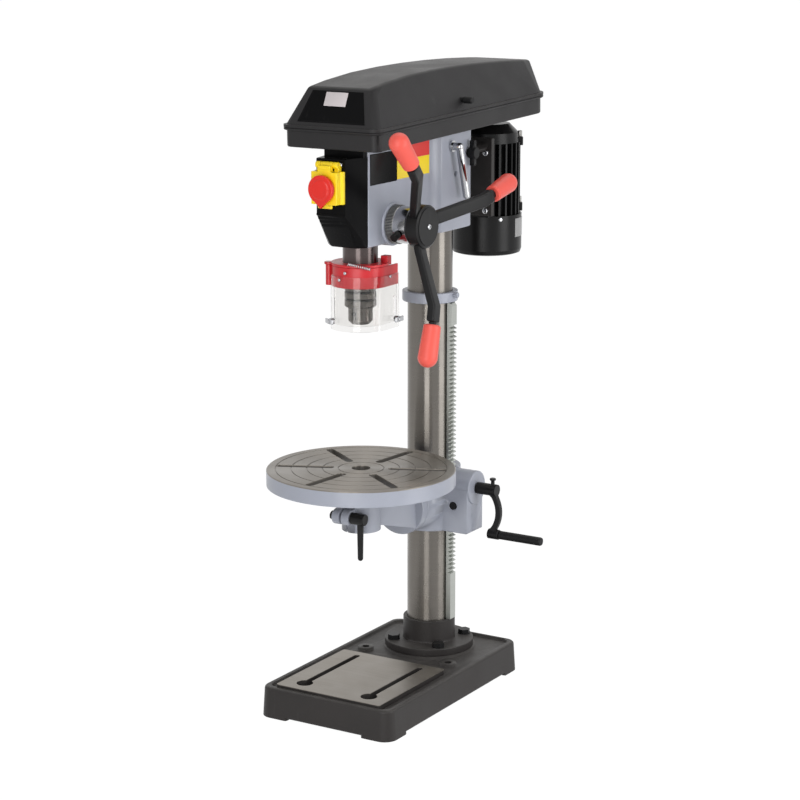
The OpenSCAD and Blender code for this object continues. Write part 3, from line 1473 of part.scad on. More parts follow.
base();
base_pad();
column_flange();
flange_bolts();
column();
rack_ring();
head();
front_cover();
switch_box();
belt_tray();
spring_case();
return_spring();
pulley_bearings();
belts();
rack();
table_bracket();
gear_pin();
elevating_gear();
worm_shaft();
crank_arm();
crank_grip();
column_lock();
table_arm();
tilt_bolt();
table_lock();
table();
table_stem();
quill();
quill_bearings();
guard_collar();
guard_frame();
guard_window();
guard_shield();
spindle();
chuck_body();
chuck_sleeve();
jaw_a();
jaw_b();
jaw_c();
feed_shaft();
feed_hub();
feed_arms();
feed_grips();
depth_ring();
depth_lock();
spindle_pulley();
idler_arm();
idler_pulley();
motor_body();
fan_cover();
motor_mount();
motor_shaft();
motor_pulley();
tension_lever();
motor_lock();
belt_lid();
lid_knob();
switch_flap();
stop_paddle();
start_button();
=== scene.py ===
"""Dresses the bench pillar drill: its finishes, small fittings, stage, lamps and camera."""

import json
import logging
import math
from dataclasses import dataclass
from enum import Enum
from typing import Callable, Dict, Optional, Sequence, Set, Tuple, Union

import bmesh
import bpy
from mathutils import Matrix, Vector


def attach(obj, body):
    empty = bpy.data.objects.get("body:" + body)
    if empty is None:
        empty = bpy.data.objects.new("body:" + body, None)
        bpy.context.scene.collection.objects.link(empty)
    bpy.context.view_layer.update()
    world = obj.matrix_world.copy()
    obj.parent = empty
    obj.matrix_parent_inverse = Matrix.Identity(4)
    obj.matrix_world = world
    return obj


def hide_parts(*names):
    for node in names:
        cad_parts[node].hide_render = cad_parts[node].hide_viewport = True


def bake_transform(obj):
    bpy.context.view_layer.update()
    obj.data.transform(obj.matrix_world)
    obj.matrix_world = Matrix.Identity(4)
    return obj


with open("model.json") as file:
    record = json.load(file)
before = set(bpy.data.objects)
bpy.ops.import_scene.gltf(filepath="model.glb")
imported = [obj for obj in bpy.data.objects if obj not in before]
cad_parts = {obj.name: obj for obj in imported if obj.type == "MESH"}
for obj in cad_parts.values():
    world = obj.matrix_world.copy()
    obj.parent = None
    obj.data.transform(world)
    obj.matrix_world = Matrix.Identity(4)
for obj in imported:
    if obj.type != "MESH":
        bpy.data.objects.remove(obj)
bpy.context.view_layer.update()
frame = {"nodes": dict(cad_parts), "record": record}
LOG = logging.getLogger("pillar_drill")

Vec2 = Tuple[float, float]
Vec3 = Tuple[float, float, float]
Colour = Tuple[float, float, float]
Socket = bpy.types.NodeSocket
Sockets = bpy.types.bpy_prop_collection
Piece = bpy.types.Object
Test = Callable[[bmesh.types.BMFace], bool]
Feed = Union[Socket, float, Sequence[float]]

UP = Vector((0, 0, 1))

# Places of the CAD model, in metres
COLUMN_Y = 0.0715
SPINDLE_Y = -0.134
MOTOR_Y = 0.2525
IDLER_Y = COLUMN_Y - 0.012
FEED_AT = (SPINDLE_Y + 0.0376, 0.761)
HEAD_Z = 0.733
TABLE_PAINT_Z = 0.387 - 0.0014
PAD_Z = 0.0512

# Width of a painted edge, depth of tool marks and the middle range of a noise
EDGE_BLUR = 0.0004
MARK_DEPTH = 0.0002
MIDDLE = (0.3, 0.7)

# Least share of a direction in the normal of a face that looks that way, and of one square to it
FACING, SQUARE = 0.9, 0.99

# Data types of the mix node, with the first socket of each pair that it mixes and its result
VALUES, COLOURS = ("FLOAT", 2, 0), ("RGBA", 6, 2)


def srgb(red: int, green: int, blue: int) -> Colour:
    """Turns a colour in 0 to 255 screen values into scene-linear values.

    Args:
        red: Red screen value.
        green: Green screen value.
        blue: Blue screen value.

    Returns:
        The linear colour.
    """
    def channel(value: int) -> float:
        """Turns one screen value into a linear one."""
        part = value / 255.0
        return part / 12.92 if part <= 0.04045 else ((part + 0.055) / 1.055) ** 2.4
    return channel(red), channel(green), channel(blue)


def scaled(colour: Colour, factor: float) -> Colour:
    """Makes a colour lighter or darker by a factor, up to white."""
    return tuple(min(1.0, part * factor) for part in colour)


class Pattern(Enum):
    """Surface patterns of the bare metal finishes, with the stretch of those made from a noise."""

    # Ring marks about an upright axis, straight milling marks, and fine marks round a long bar
    ROUND = None
    STRAIGHT = (4.0, 900.0, 4.0)
    ALONG = (6.0, 6.0, 1500.0)


# Shared effects


class Graph:
    """A node tree, with short ways to add and join nodes."""

    def __init__(self, tree: bpy.types.NodeTree) -> None:
        """Keeps the node tree."""
        self.tree = tree

    def put(self, value: Feed, socket: Socket) -> None:
        """Links a socket to an input, or sets the input to a value.

        Args:
            value: The socket or the value.
            socket: The input.
        """
        if isinstance(value, Socket):
            self.tree.links.new(value, socket)
        else:
            socket.default_value = value

    def node(self, kind: str, *values: Feed, **named: Feed) -> bpy.types.Node:
        """Adds a node and feeds its inputs.

        Args:
            kind: Blender's name of the node type, after ShaderNode.
            values: What feeds its first inputs, in order.
            named: What feeds its other inputs, with spaces in their names written as underscores.

        Returns:
            The new node.
        """
        made = self.tree.nodes.new("ShaderNode" + kind)
        for index, value in enumerate(values):
            self.put(value, made.inputs[index])
        for label, value in named.items():
            self.put(value, made.inputs[label.replace("_", " ")])
        return made

    def math(self, operation: str, *values: Feed, kind: str = "Math") -> Socket:
        """Works out a value from others.

        Args:
            operation: Blender's name of the operation.
            values: What it works on.
            kind: Math, or VectorMath for vectors.

        Returns:
            The result.
        """
        made = self.node(kind, *values)
        made.operation = operation
        return made.outputs["Value"]

    def place(self) -> Socket:
        """Gives the place of a point in the object's own frame."""
        return self.node("TexCoord").outputs["Object"]

    def part(self, source: Socket, axis: str) -> Socket:
        """Gives one part of a vector, named by its axis."""
        return self.node("SeparateXYZ", source).outputs[axis]

    def noise(self, place: Socket, scale: Feed, detail: float, **named: Feed) -> Socket:
        """Adds a noise from 0 to 1, read at a place."""
        return self.node("TexNoise", Vector=place, Scale=scale, Detail=detail, **named).outputs["Fac"]

    def span(self, source: Socket, low: float, high: float, start: float = 0.0, end: float = 1.0) -> Socket:
        """Maps a value that runs from start to end onto low to high."""
        made = self.node("MapRange", Value=source, From_Min=start, From_Max=end, To_Min=low, To_Max=high)
        return made.outputs["Result"]


class Effects:
    """Node groups that several finishes share."""

    GRAIN_DETAIL, PATCH_DETAIL, RING_DETAIL = 3.0, 4.0, 2.0
    DUST_FACING, DUST_SCALE, DUST_DETAIL = (0.55, 1.0), 55.0, 5.0
    RUB_STRETCH, RUB_DETAIL, RUB_ROUGH, RUB_EDGE = (1.0, 1.0, 0.22), 8.0, 0.68, (0.62, 0.74)

    def __init__(self) -> None:
        """Builds each group once."""
        grain = ("Relief", "Patches")
        self.grain = self.group("surface_grain", self.lay_grain, grain, Scale=900.0, Broad=14.0)
        self.settled = self.group("settled_dust", self.lay_dust, ("Mask",), Amount=0.2)
        self.turned = self.group("turned_rings", self.lay_rings, ("Marks",), X=0.0, Y=0.0, Rings=2600.0)
        self.scuffed = self.group("rub_marks", self.lay_rubs, ("Mask",), Scale=60.0, Amount=0.5)

    @staticmethod
    def group(
        name: str, lay: Callable[[Graph, Sockets], Sequence[Socket]], outputs: Sequence[str], **inputs: float
    ) -> bpy.types.NodeTree:
        """Builds a shader node group.

        Args:
            name: Name of the group.
            lay: Lays its nodes from the graph and its inputs, and gives a socket for each output.
            outputs: Names of the float outputs.
            inputs: Named float inputs with their defaults.

        Returns:
            The group's tree.
        """
        tree = bpy.data.node_groups.new(name, "ShaderNodeTree")
        for label, value in inputs.items():
            socket = tree.interface.new_socket(name=label, in_out="INPUT", socket_type="NodeSocketFloat")
            socket.default_value = value
        for label in outputs:
            tree.interface.new_socket(name=label, in_out="OUTPUT", socket_type="NodeSocketFloat")
        given, out = tree.nodes.new("NodeGroupInput"), tree.nodes.new("NodeGroupOutput")
        for label, result in zip(outputs, lay(Graph(tree), given.outputs)):
            tree.links.new(result, out.inputs[label])
        return tree

    def lay_grain(self, graph: Graph, given: Sockets) -> Sequence[Socket]:
        """Lays the fine relief of paint and moulded plastic, with a broad variation beside it."""
        details = {"Scale": self.GRAIN_DETAIL, "Broad": self.PATCH_DETAIL}
        return [graph.noise(graph.place(), given[label], detail) for label, detail in details.items()]

    def lay_dust(self, graph: Graph, given: Sockets) -> Sequence[Socket]:
        """Lays a mask of the thin dust that settles on faces that look up.

        Args:
            graph: The group's nodes.
            given: Its inputs.

        Returns:
            The mask.
        """
        up = graph.part(graph.node("NewGeometry").outputs["Normal"], "Z")
        facing = graph.span(up, 0.0, 1.0, *self.DUST_FACING)
        patch = graph.math("MULTIPLY", facing, graph.noise(graph.place(), self.DUST_SCALE, self.DUST_DETAIL))
        return (graph.math("MULTIPLY", patch, given["Amount"]),)

    def lay_rings(self, graph: Graph, given: Sockets) -> Sequence[Socket]:
        """Lays the ring marks that a lathe leaves about an upright axis through (X, Y).

        Args:
            graph: The group's nodes.
            given: Its inputs.

        Returns:
            The marks.
        """
        place = graph.place()
        offsets = [graph.math("SUBTRACT", graph.part(place, axis), given[axis]) for axis in ("X", "Y")]
        flat = graph.node("CombineXYZ", *offsets).outputs["Vector"]
        noise = graph.node("TexNoise", Scale=given["Rings"], Detail=self.RING_DETAIL)
        noise.noise_dimensions = "1D"
        graph.put(graph.math("LENGTH", flat, kind="VectorMath"), noise.inputs["W"])
        return (noise.outputs["Fac"],)

    def lay_rubs(self, graph: Graph, given: Sockets) -> Sequence[Socket]:
        """Lays a sparse mask of light rub marks.

        Args:
            graph: The group's nodes.
            given: Its inputs.

        Returns:
            The mask.
        """
        stretch = graph.node("Mapping", Vector=graph.place(), Scale=self.RUB_STRETCH).outputs["Vector"]
        noise = graph.noise(stretch, given["Scale"], self.RUB_DETAIL, Roughness=self.RUB_ROUGH)
        return (graph.math("MULTIPLY", graph.span(noise, 0.0, 1.0, *self.RUB_EDGE), given["Amount"]),)


# Finishes


class Sheet(Graph):
    """A material's node sheet with its surface shader."""

    def __init__(self, name: str, effects: Effects) -> None:
        """Starts a material with an empty sheet and a surface shader.

        Args:
            name: Name of the material.
            effects: The shared node groups.
        """
        self.material = bpy.data.materials.new(name)
        self.material.use_nodes = True
        super().__init__(self.material.node_tree)
        self.effects = effects

    def shade(self, **values: Feed) -> None:
        """Feeds inputs of the surface shader, with spaces in their names written as underscores."""
        for label, value in values.items():
            self.put(value, self.tree.nodes["Principled BSDF"].inputs[label.replace("_", " ")])

    def effect(self, tree: bpy.types.NodeTree, **values: float) -> Sockets:
        """Places a shared group.

        Args:
            tree: The group.
            values: Its input values by name.

        Returns:
            The group's outputs.
        """
        made = self.node("Group")
        made.node_tree = tree
        for label, value in values.items():
            self.put(value, made.inputs[label])
        return made.outputs

    def mix(self, mask: Socket, first: Feed, second: Feed, kind: Tuple[str, int, int] = VALUES) -> Socket:
        """Mixes two values or colours by a mask.

        Args:
            mask: Share of the second one.
            first: A value or a socket.
            second: A value or a socket.
            kind: Values or colours.

        Returns:
            The mix.
        """
        made = self.node("Mix", mask)
        made.data_type = kind[0]
        self.put(first, made.inputs[kind[1]])
        self.put(second, made.inputs[kind[1] + 1])
        return made.outputs[kind[2]]

    def blend(self, mask: Socket, first: Feed, second: Feed) -> Socket:
        """Mixes two colours or colour sockets by a mask of the second one."""
        ends = [end if isinstance(end, Socket) else (*end, 1.0) for end in (first, second)]
        return self.mix(mask, *ends, kind=COLOURS)

    def bump(self, height: Socket, strength: float, depth: float = MARK_DEPTH) -> None:
        """Raises the surface by a height from 0 to 1, to a depth in metres."""
        made = self.node("Bump", Strength=strength, Distance=depth, Height=height)
        self.shade(Normal=made.outputs["Normal"])

    def comb(self, amount: float) -> None:
        """Draws reflections out across tool marks that run round an upright axis.

        Args:
            amount: Share of the effect.
        """
        if amount > 0.0:
            marks = self.node("Tangent")
            marks.direction_type, marks.axis = "RADIAL", "Z"
            self.shade(Tangent=marks.outputs["Tangent"], Anisotropic=amount, Anisotropic_Rotation=0.25)

    def height_mask(self, level: float) -> Socket:
        """Makes a mask that is 1 above a level in metres."""
        return self.span(self.part(self.place(), "Z"), 0.0, 1.0, level - EDGE_BLUR, level + EDGE_BLUR)

    def core_mask(self, centre: Vec2, radius: float, level: float) -> Socket:
        """Makes a mask of what lies above a level and near an upright axis.

        Args:
            centre: Where the axis stands.
            radius: Reach from the axis in metres.
            level: Height in metres.

        Returns:
            The mask, 1 inside.
        """
        flat = self.node("VectorMath", self.place(), (1.0, 1.0, 0.0))
        flat.operation = "MULTIPLY"
        reach = self.math("DISTANCE", flat.outputs["Vector"], (*centre, 0.0), kind="VectorMath")
        near = self.span(reach, 1.0, 0.0, radius - EDGE_BLUR, radius + EDGE_BLUR)
        return self.math("MULTIPLY", near, self.height_mask(level))


@dataclass(frozen=True)
class Finish:
    """A finish that lays its nodes on a material's sheet."""

    name: str

    def build(self, effects: Effects) -> bpy.types.Material:
        """Builds the material.

        Args:
            effects: The shared node groups.

        Returns:
            The material.
        """
        sheet = Sheet(self.name, effects)
        self.lay(sheet)
        return sheet.material

    def lay(self, sheet: Sheet) -> None:
        """Lays the finish on a sheet."""
        raise NotImplementedError


@dataclass(frozen=True)
class Painted(Finish):
    """A paint or a moulded plastic, with relief, patches, dust and rub marks."""

    colour: Colour
    rough: float
    relief_scale: float = 900.0
    relief: float = 0.05
    depth: float = 0.0003
    coat: float = 0.0
    dust: float = 0.04
    worn: float = 0.10
    patches: float = 0.10
    shine: float = 0.5
    dust_colour: Colour = (0.42, 0.40, 0.37)
    rub_share: float = 0.55
    rub_lift: float = 0.10
    rough_range: Vec2 = (-0.06, 0.07)
    coat_rough: float = 0.12

    def lay(self, sheet: Sheet) -> None:
        """Lays the finish on a sheet."""
        self.paint(sheet)

    def paint(self, sheet: Sheet) -> Tuple[Socket, Socket]:
        """Lays the paint on a sheet.

        Args:
            sheet: The material's sheet.

        Returns:
            The colour and the roughness.
        """
        grain = sheet.effect(sheet.effects.grain, Scale=self.relief_scale)
        dark, light = scaled(self.colour, 1.0 - self.patches), scaled(self.colour, 1.0 + self.patches)
        colour = sheet.blend(sheet.span(grain["Patches"], 0.0, 1.0, *MIDDLE), dark, light)
        rubbed = sheet.effect(sheet.effects.scuffed, Amount=self.worn)
        pale = tuple(self.rub_share * part + self.rub_lift for part in self.colour)
        colour = sheet.blend(rubbed["Mask"], colour, pale)
        dusty = sheet.effect(sheet.effects.settled, Amount=self.dust)
        colour = sheet.blend(dusty["Mask"], colour, self.dust_colour)
        rough = sheet.span(grain["Patches"], *(self.rough + change for change in self.rough_range), *MIDDLE)
        sheet.shade(Base_Color=colour, Roughness=rough, Specular_IOR_Level=self.shine)
        sheet.shade(Coat_Weight=self.coat, Coat_Roughness=self.coat_rough)
        sheet.bump(grain["Relief"], self.relief, self.depth)
        return colour, rough


@dataclass(frozen=True)
class BareMetal(Finish):
    """A bare machined metal with its tool marks, and dark bands of painted shade where it has grooves."""

    colour: Colour
    rough: float
    marks: float
    pattern: Pattern = Pattern.ALONG
    centre: Vec2 = (0.0, 0.0)
    relief: float = 0.08
    aniso: float = 0.0
    # Height spans painted dark round the bar: painted shade in its grooves
    groove_shade_bands: Tuple[Vec2, ...] = ()
    mark_dark: float = 0.35
    stain_dark: float = 0.72
    band_shade: float = 0.12
    rough_range: Vec2 = (-0.05, 0.08)
    patch_scale: float = 22.0
    stain_share: Vec2 = (0.25, 0.0)
    stain_range: Vec2 = (0.32, 0.6)

    def lay(self, sheet: Sheet) -> None:
        """Lays the finish on a sheet.

        Args:
            sheet: The material's sheet.
        """
        colour, rough, height = self.machine(sheet)
        sheet.shade(Base_Color=colour, Roughness=rough, Metallic=1.0)
        sheet.comb(self.aniso)
        sheet.bump(height, self.relief)

    def machine(self, sheet: Sheet) -> Tuple[Socket, Socket, Socket]:
        """Makes the tool marks.

        Args:
            sheet: The material's sheet.

        Returns:
            The colour, the roughness and the relief.
        """
        if self.pattern is Pattern.ROUND:
            marks = sheet.effect(sheet.effects.turned, X=self.centre[0], Y=self.centre[1])["Marks"]
        else:
            stretch = sheet.node("Mapping", Vector=sheet.place(), Scale=self.pattern.value)
            marks = sheet.noise(stretch.outputs["Vector"], 1.0, 3.0)
        patches = sheet.effect(sheet.effects.grain, Broad=self.patch_scale)["Patches"]
        dark = scaled(self.colour, 1.0 - self.mark_dark * self.marks)
        colour = sheet.blend(sheet.span(marks, 0.0, 1.0, *MIDDLE), dark, self.colour)
        stain = sheet.span(patches, *self.stain_share, *self.stain_range)
        colour = sheet.blend(stain, colour, scaled(self.colour, self.stain_dark))
        # Each band is painted dark between two heights: painted shade in a groove of the chuck
        for low, high in self.groove_shade_bands:
            within = sheet.mix(sheet.height_mask(high), sheet.height_mask(low), 0.0)
            colour = sheet.blend(within, colour, scaled(self.colour, self.band_shade))
        rough = sheet.span(patches, *(self.rough + change for change in self.rough_range), *MIDDLE)
        return colour, rough, marks


@dataclass(frozen=True)
class PartMachined(Finish):
    """A painted casting whose top above a level is machined bare."""

    paint: Painted
    metal: BareMetal
    level: float
    wall_r: float = 0.0
    wall_h: float = 0.0
    # Darkening of the slot walls: partly bare iron, partly painted shade
    wall_iron_and_shade: float = 0.35
    relief: float = 0.12

    def lay(self, sheet: Sheet) -> None:
        """Lays paint and metal on a sheet; the walls just below the level inside the radius are painted
        dark, as bare iron darkened with painted shade.

        Args:
            sheet: The material's sheet.
        """
        paint_colour, paint_rough = self.paint.paint(sheet)
        metal_colour, metal_rough, marks = self.metal.machine(sheet)
        bare = sheet.height_mask(self.level)
        # Inside the radius the walls below the level are painted dark: bare iron with painted shade in the
        # slots
        if self.wall_r > 0.0:
            wall = sheet.core_mask(self.metal.centre, self.wall_r, self.level - self.wall_h)
            paint_colour = sheet.blend(wall, paint_colour, scaled(self.metal.colour, self.wall_iron_and_shade))
        rough = sheet.mix(bare, paint_rough, metal_rough)
        sheet.shade(Base_Color=sheet.blend(bare, paint_colour, metal_colour), Roughness=rough, Metallic=bare)
        sheet.comb(self.metal.aniso)
        sheet.bump(marks, self.relief)


@dataclass(frozen=True)
class Graduated(Finish):
    """A polished ring with a dark band of graduations about an axis along X."""

    centre: Vec2
    band_end: float
    ticks: int = 80
    tick_edge: Vec2 = (0.24, 0.30)
    band_colours: Tuple[Colour, Colour] = ((0.010, 0.010, 0.011), (0.30, 0.30, 0.29))
    ring_colours: Tuple[Colour, Colour] = ((0.46, 0.46, 0.47), (0.36, 0.36, 0.37))
    ring_rough: Vec2 = (0.14, 0.22)
    ring_stain: Vec2 = (0.0, 0.5)
    band_rough: float = 0.4
    band_metal: float = 0.1
    relief_scale: float = 500.0
    relief: float = 0.05

    def lay(self, sheet: Sheet) -> None:
        """Lays the finish on a sheet.

        Args:
            sheet: The material's sheet.
        """
        place = sheet.place()
        pairs = zip(("Y", "Z"), self.centre)
        offsets = [sheet.math("SUBTRACT", sheet.part(place, axis), middle) for axis, middle in pairs]
        turn = sheet.math("ARCTAN2", *offsets)
        counted = sheet.span(turn, 0.0, float(self.ticks), -math.pi, math.pi)
        tick = sheet.span(sheet.math("FRACT", counted), 1.0, 0.0, *self.tick_edge)
        edge = EDGE_BLUR / 2
        band = sheet.span(sheet.part(place, "X"), 1.0, 0.0, self.band_end - edge, self.band_end + edge)
        grain = sheet.effect(sheet.effects.grain, Scale=self.relief_scale)
        dark = sheet.blend(tick, *self.band_colours)
        bright = sheet.blend(sheet.span(grain["Patches"], *self.ring_stain), *self.ring_colours)
        rough = sheet.mix(band, sheet.span(grain["Patches"], *self.ring_rough, *MIDDLE), self.band_rough)
        sheet.shade(Base_Color=sheet.blend(band, bright, dark), Roughness=rough)
        sheet.shade(Metallic=sheet.mix(band, 1.0, self.band_metal))
        sheet.bump(grain["Relief"], self.relief)


@dataclass(frozen=True)
class ClearSheet(Finish):
    """A clear moulded sheet, faintly hazed by handling."""

    tint: Colour = (0.885, 0.877, 0.866)
    bending: float = 1.3
    haze_scale: float = 60.0
    haze_range: Vec2 = (0.35, 0.7)
    haze_rough: Vec2 = (0.02, 0.07)
    relief_scale: float = 300.0
    relief: float = 0.01

    def lay(self, sheet: Sheet) -> None:
        """Lays the finish on a sheet.

        Args:
            sheet: The material's sheet.
        """
        haze = sheet.effect(sheet.effects.grain, Scale=self.relief_scale, Broad=self.haze_scale)
        rough = sheet.span(haze["Patches"], *self.haze_rough, *self.haze_range)
        sheet.shade(Base_Color=(*self.tint, 1.0), Roughness=rough)
        sheet.shade(Transmission_Weight=1.0, IOR=self.bending)
        sheet.bump(haze["Relief"], self.relief)


class Wardrobe:
    """All the finishes of the drill, and which CAD node wears which."""

    ENAMEL = Painted("light_grey_enamel", srgb(158, 162, 174), 0.40, relief_scale=700.0, relief=0.10,
                     depth=0.0005, coat=0.15, dust=0.08, patches=0.05)
    CHARCOAL = Painted("charcoal_enamel", srgb(43, 40, 39), 0.50, relief_scale=420.0, relief=0.22,
                       depth=0.0006, dust=0.16, worn=0.12, patches=0.14, shine=0.3)
    IRON = BareMetal("iron", srgb(138, 132, 124), 0.44, 0.55, Pattern.ROUND, (0.0, SPINDLE_Y), aniso=0.8)
    MILLED = BareMetal("milled", srgb(146, 140, 132), 0.38, 0.5, Pattern.STRAIGHT)
    FINISHES: Dict[str, Finish] = {
        "enamel": ENAMEL,
        "charcoal": CHARCOAL,
        "housing": Painted("crinkle_black", srgb(32, 31, 32), 0.48, relief_scale=1100.0, relief=0.30,
                           depth=0.0007, dust=0.12, shine=0.26),
        "gloss_black": Painted("gloss_black", srgb(13, 13, 14), 0.24, relief_scale=500.0, relief=0.04,
                               shine=0.05),
        "motor_black": Painted("motor_black", srgb(14, 14, 15), 0.30, relief_scale=520.0, relief=0.08,
                               depth=0.0004, patches=0.12, shine=0.2),
        "satin_black": Painted("satin_black", srgb(21, 21, 22), 0.38, relief_scale=800.0, relief=0.06,
                               dust=0.05, shine=0.2),
        "grip_black": Painted("grip_black", srgb(20, 20, 21), 0.50, relief_scale=1200.0, relief=0.10,
                              dust=0.06, shine=0.2),
        "column": BareMetal("ground_column", srgb(117, 113, 108), 0.26, 0.30, aniso=0.95),
        "steel": BareMetal("machined_steel", srgb(150, 149, 146), 0.26, 0.4),
        "rack": BareMetal("rack_steel", srgb(184, 187, 182), 0.36, 0.3),
        # The quill is steel grey with a red tint: the red is a painted reflection of the red guard
        "quill": BareMetal("quill_steel_and_red_reflection", srgb(92, 84, 83), 0.28, 0.5, aniso=0.9),
        # The chuck's two dark bands are painted shade in its grooves
        "chuck": BareMetal("chuck_steel", srgb(106, 103, 99), 0.26, 0.5, aniso=0.9,
                           groove_shade_bands=((0.6488, 0.6526), (0.6600, 0.6640))),
        "bright": BareMetal("bright_plate", srgb(186, 187, 190), 0.10, 0.15),
        "alloy": BareMetal("die_cast_alloy", srgb(162, 163, 166), 0.42, 0.2),
        "base": PartMachined("base_and_pad", CHARCOAL, MILLED, PAD_Z),
        # The table's slot walls are painted dark: bare iron with painted shade
        "table": PartMachined("table_and_rim", ENAMEL, IRON, TABLE_PAINT_Z, wall_r=0.1430, wall_h=0.0180),
        "rubber": Painted("belt_rubber", srgb(26, 26, 26), 0.70, relief_scale=1500.0, relief=0.20,
                          depth=0.0004, dust=0.10, shine=0.3),
        "grip_red": Painted("coral_grip", srgb(234, 92, 80), 0.42, dust=0.02, worn=0.06, patches=0.05,
                            shine=0.4),
        "guard_red": Painted("guard_red", srgb(194, 26, 36), 0.36, coat=0.1, dust=0.03, worn=0.06,
                             patches=0.06),
        "stop_red": Painted("stop_red", srgb(219, 27, 10), 0.34, relief=0.04, coat=0.1, dust=0.02,
                            worn=0.05, patches=0.05),
        "yellow": Painted("switch_yellow", srgb(250, 218, 20), 0.36, coat=0.1, dust=0.02, worn=0.05,
                          patches=0.04),
        "green": Painted("start_green", srgb(40, 150, 70), 0.34, coat=0.25, dust=0.03, worn=0.05,
                         patches=0.05),
        "pale_plate": Painted("bare_pale_plate", srgb(214, 206, 207), 0.42, relief_scale=700.0, relief=0.02,
                              depth=0.0002, coat=0.03, dust=0.02, worn=0.06, patches=0.06),
        "bare_plate": Painted("bare_grey_plate", srgb(150, 150, 150), 0.38, relief_scale=700.0, coat=0.1),
        "clear": ClearSheet("clear_sheet"),
        "depth": Graduated("graduated_ring", FEED_AT, 0.0500),
    }
    NODES: Dict[str, str] = {
        "base": "base base_pad",
        "charcoal": "column_flange spring_case motor_mount",
        "satin_black": "flange_bolts gear_pin crank_arm column_lock tilt_bolt table_lock feed_hub feed_arms"
                       " depth_lock",
        "column": "column",
        "quill": "quill",
        "rack": "rack",
        "enamel": "rack_ring head table_bracket table_arm table_stem",
        "gloss_black": "front_cover",
        "yellow": "switch_box switch_flap",
        "housing": "belt_tray belt_lid",
        "grip_black": "crank_grip motor_lock lid_knob",
        "steel": "return_spring pulley_bearings elevating_gear worm_shaft quill_bearings spindle feed_shaft"
                 " idler_arm motor_shaft jaw_a jaw_b jaw_c",
        "chuck": "chuck_body chuck_sleeve",
        "table": "table",
        "guard_red": "guard_collar guard_frame",
        "clear": "guard_window guard_shield",
        "grip_red": "feed_grips",
        "depth": "depth_ring",
        "alloy": "spindle_pulley idler_pulley motor_pulley",
        "motor_black": "motor_body fan_cover",
        "bright": "tension_lever",
        "stop_red": "stop_paddle",
        "green": "start_button",
    }

    def __init__(self, effects: Effects) -> None:
        """Builds every finish with the shared effects."""
        self.made = {key: finish.build(effects) for key, finish in self.FINISHES.items()}

    def dress(self) -> None:
        """Puts its finish on every CAD node but the belts, whose runs wear it."""
        for key, names in self.NODES.items():
            for name in names.split():
                wear(frame["nodes"][name], self.made[key])


def wear(piece: Piece, material: bpy.types.Material) -> None:
    """Gives a piece one material."""
    piece.data.materials.clear()
    piece.data.materials.append(material)


def body_of(node: str) -> str:
    """Names the body that a CAD node rides on."""
    return next(body for body, nodes in frame["record"]["behaviour"]["bodies"].items() if node in nodes)


def slot_of(node: str) -> str:
    """Names the record's material slot of a CAD node."""
    return next(part["material_slot"] for part in frame["record"]["subparts"] if part["node"] == node)


# Modelling by hand


@dataclass(frozen=True)
class Rounding:
    """A CAD node whose edges are rounded, with its finish and the places that are rounded."""

    node: str
    finish: str
    width: float
    where: Callable[[Vector], bool] = lambda place: True


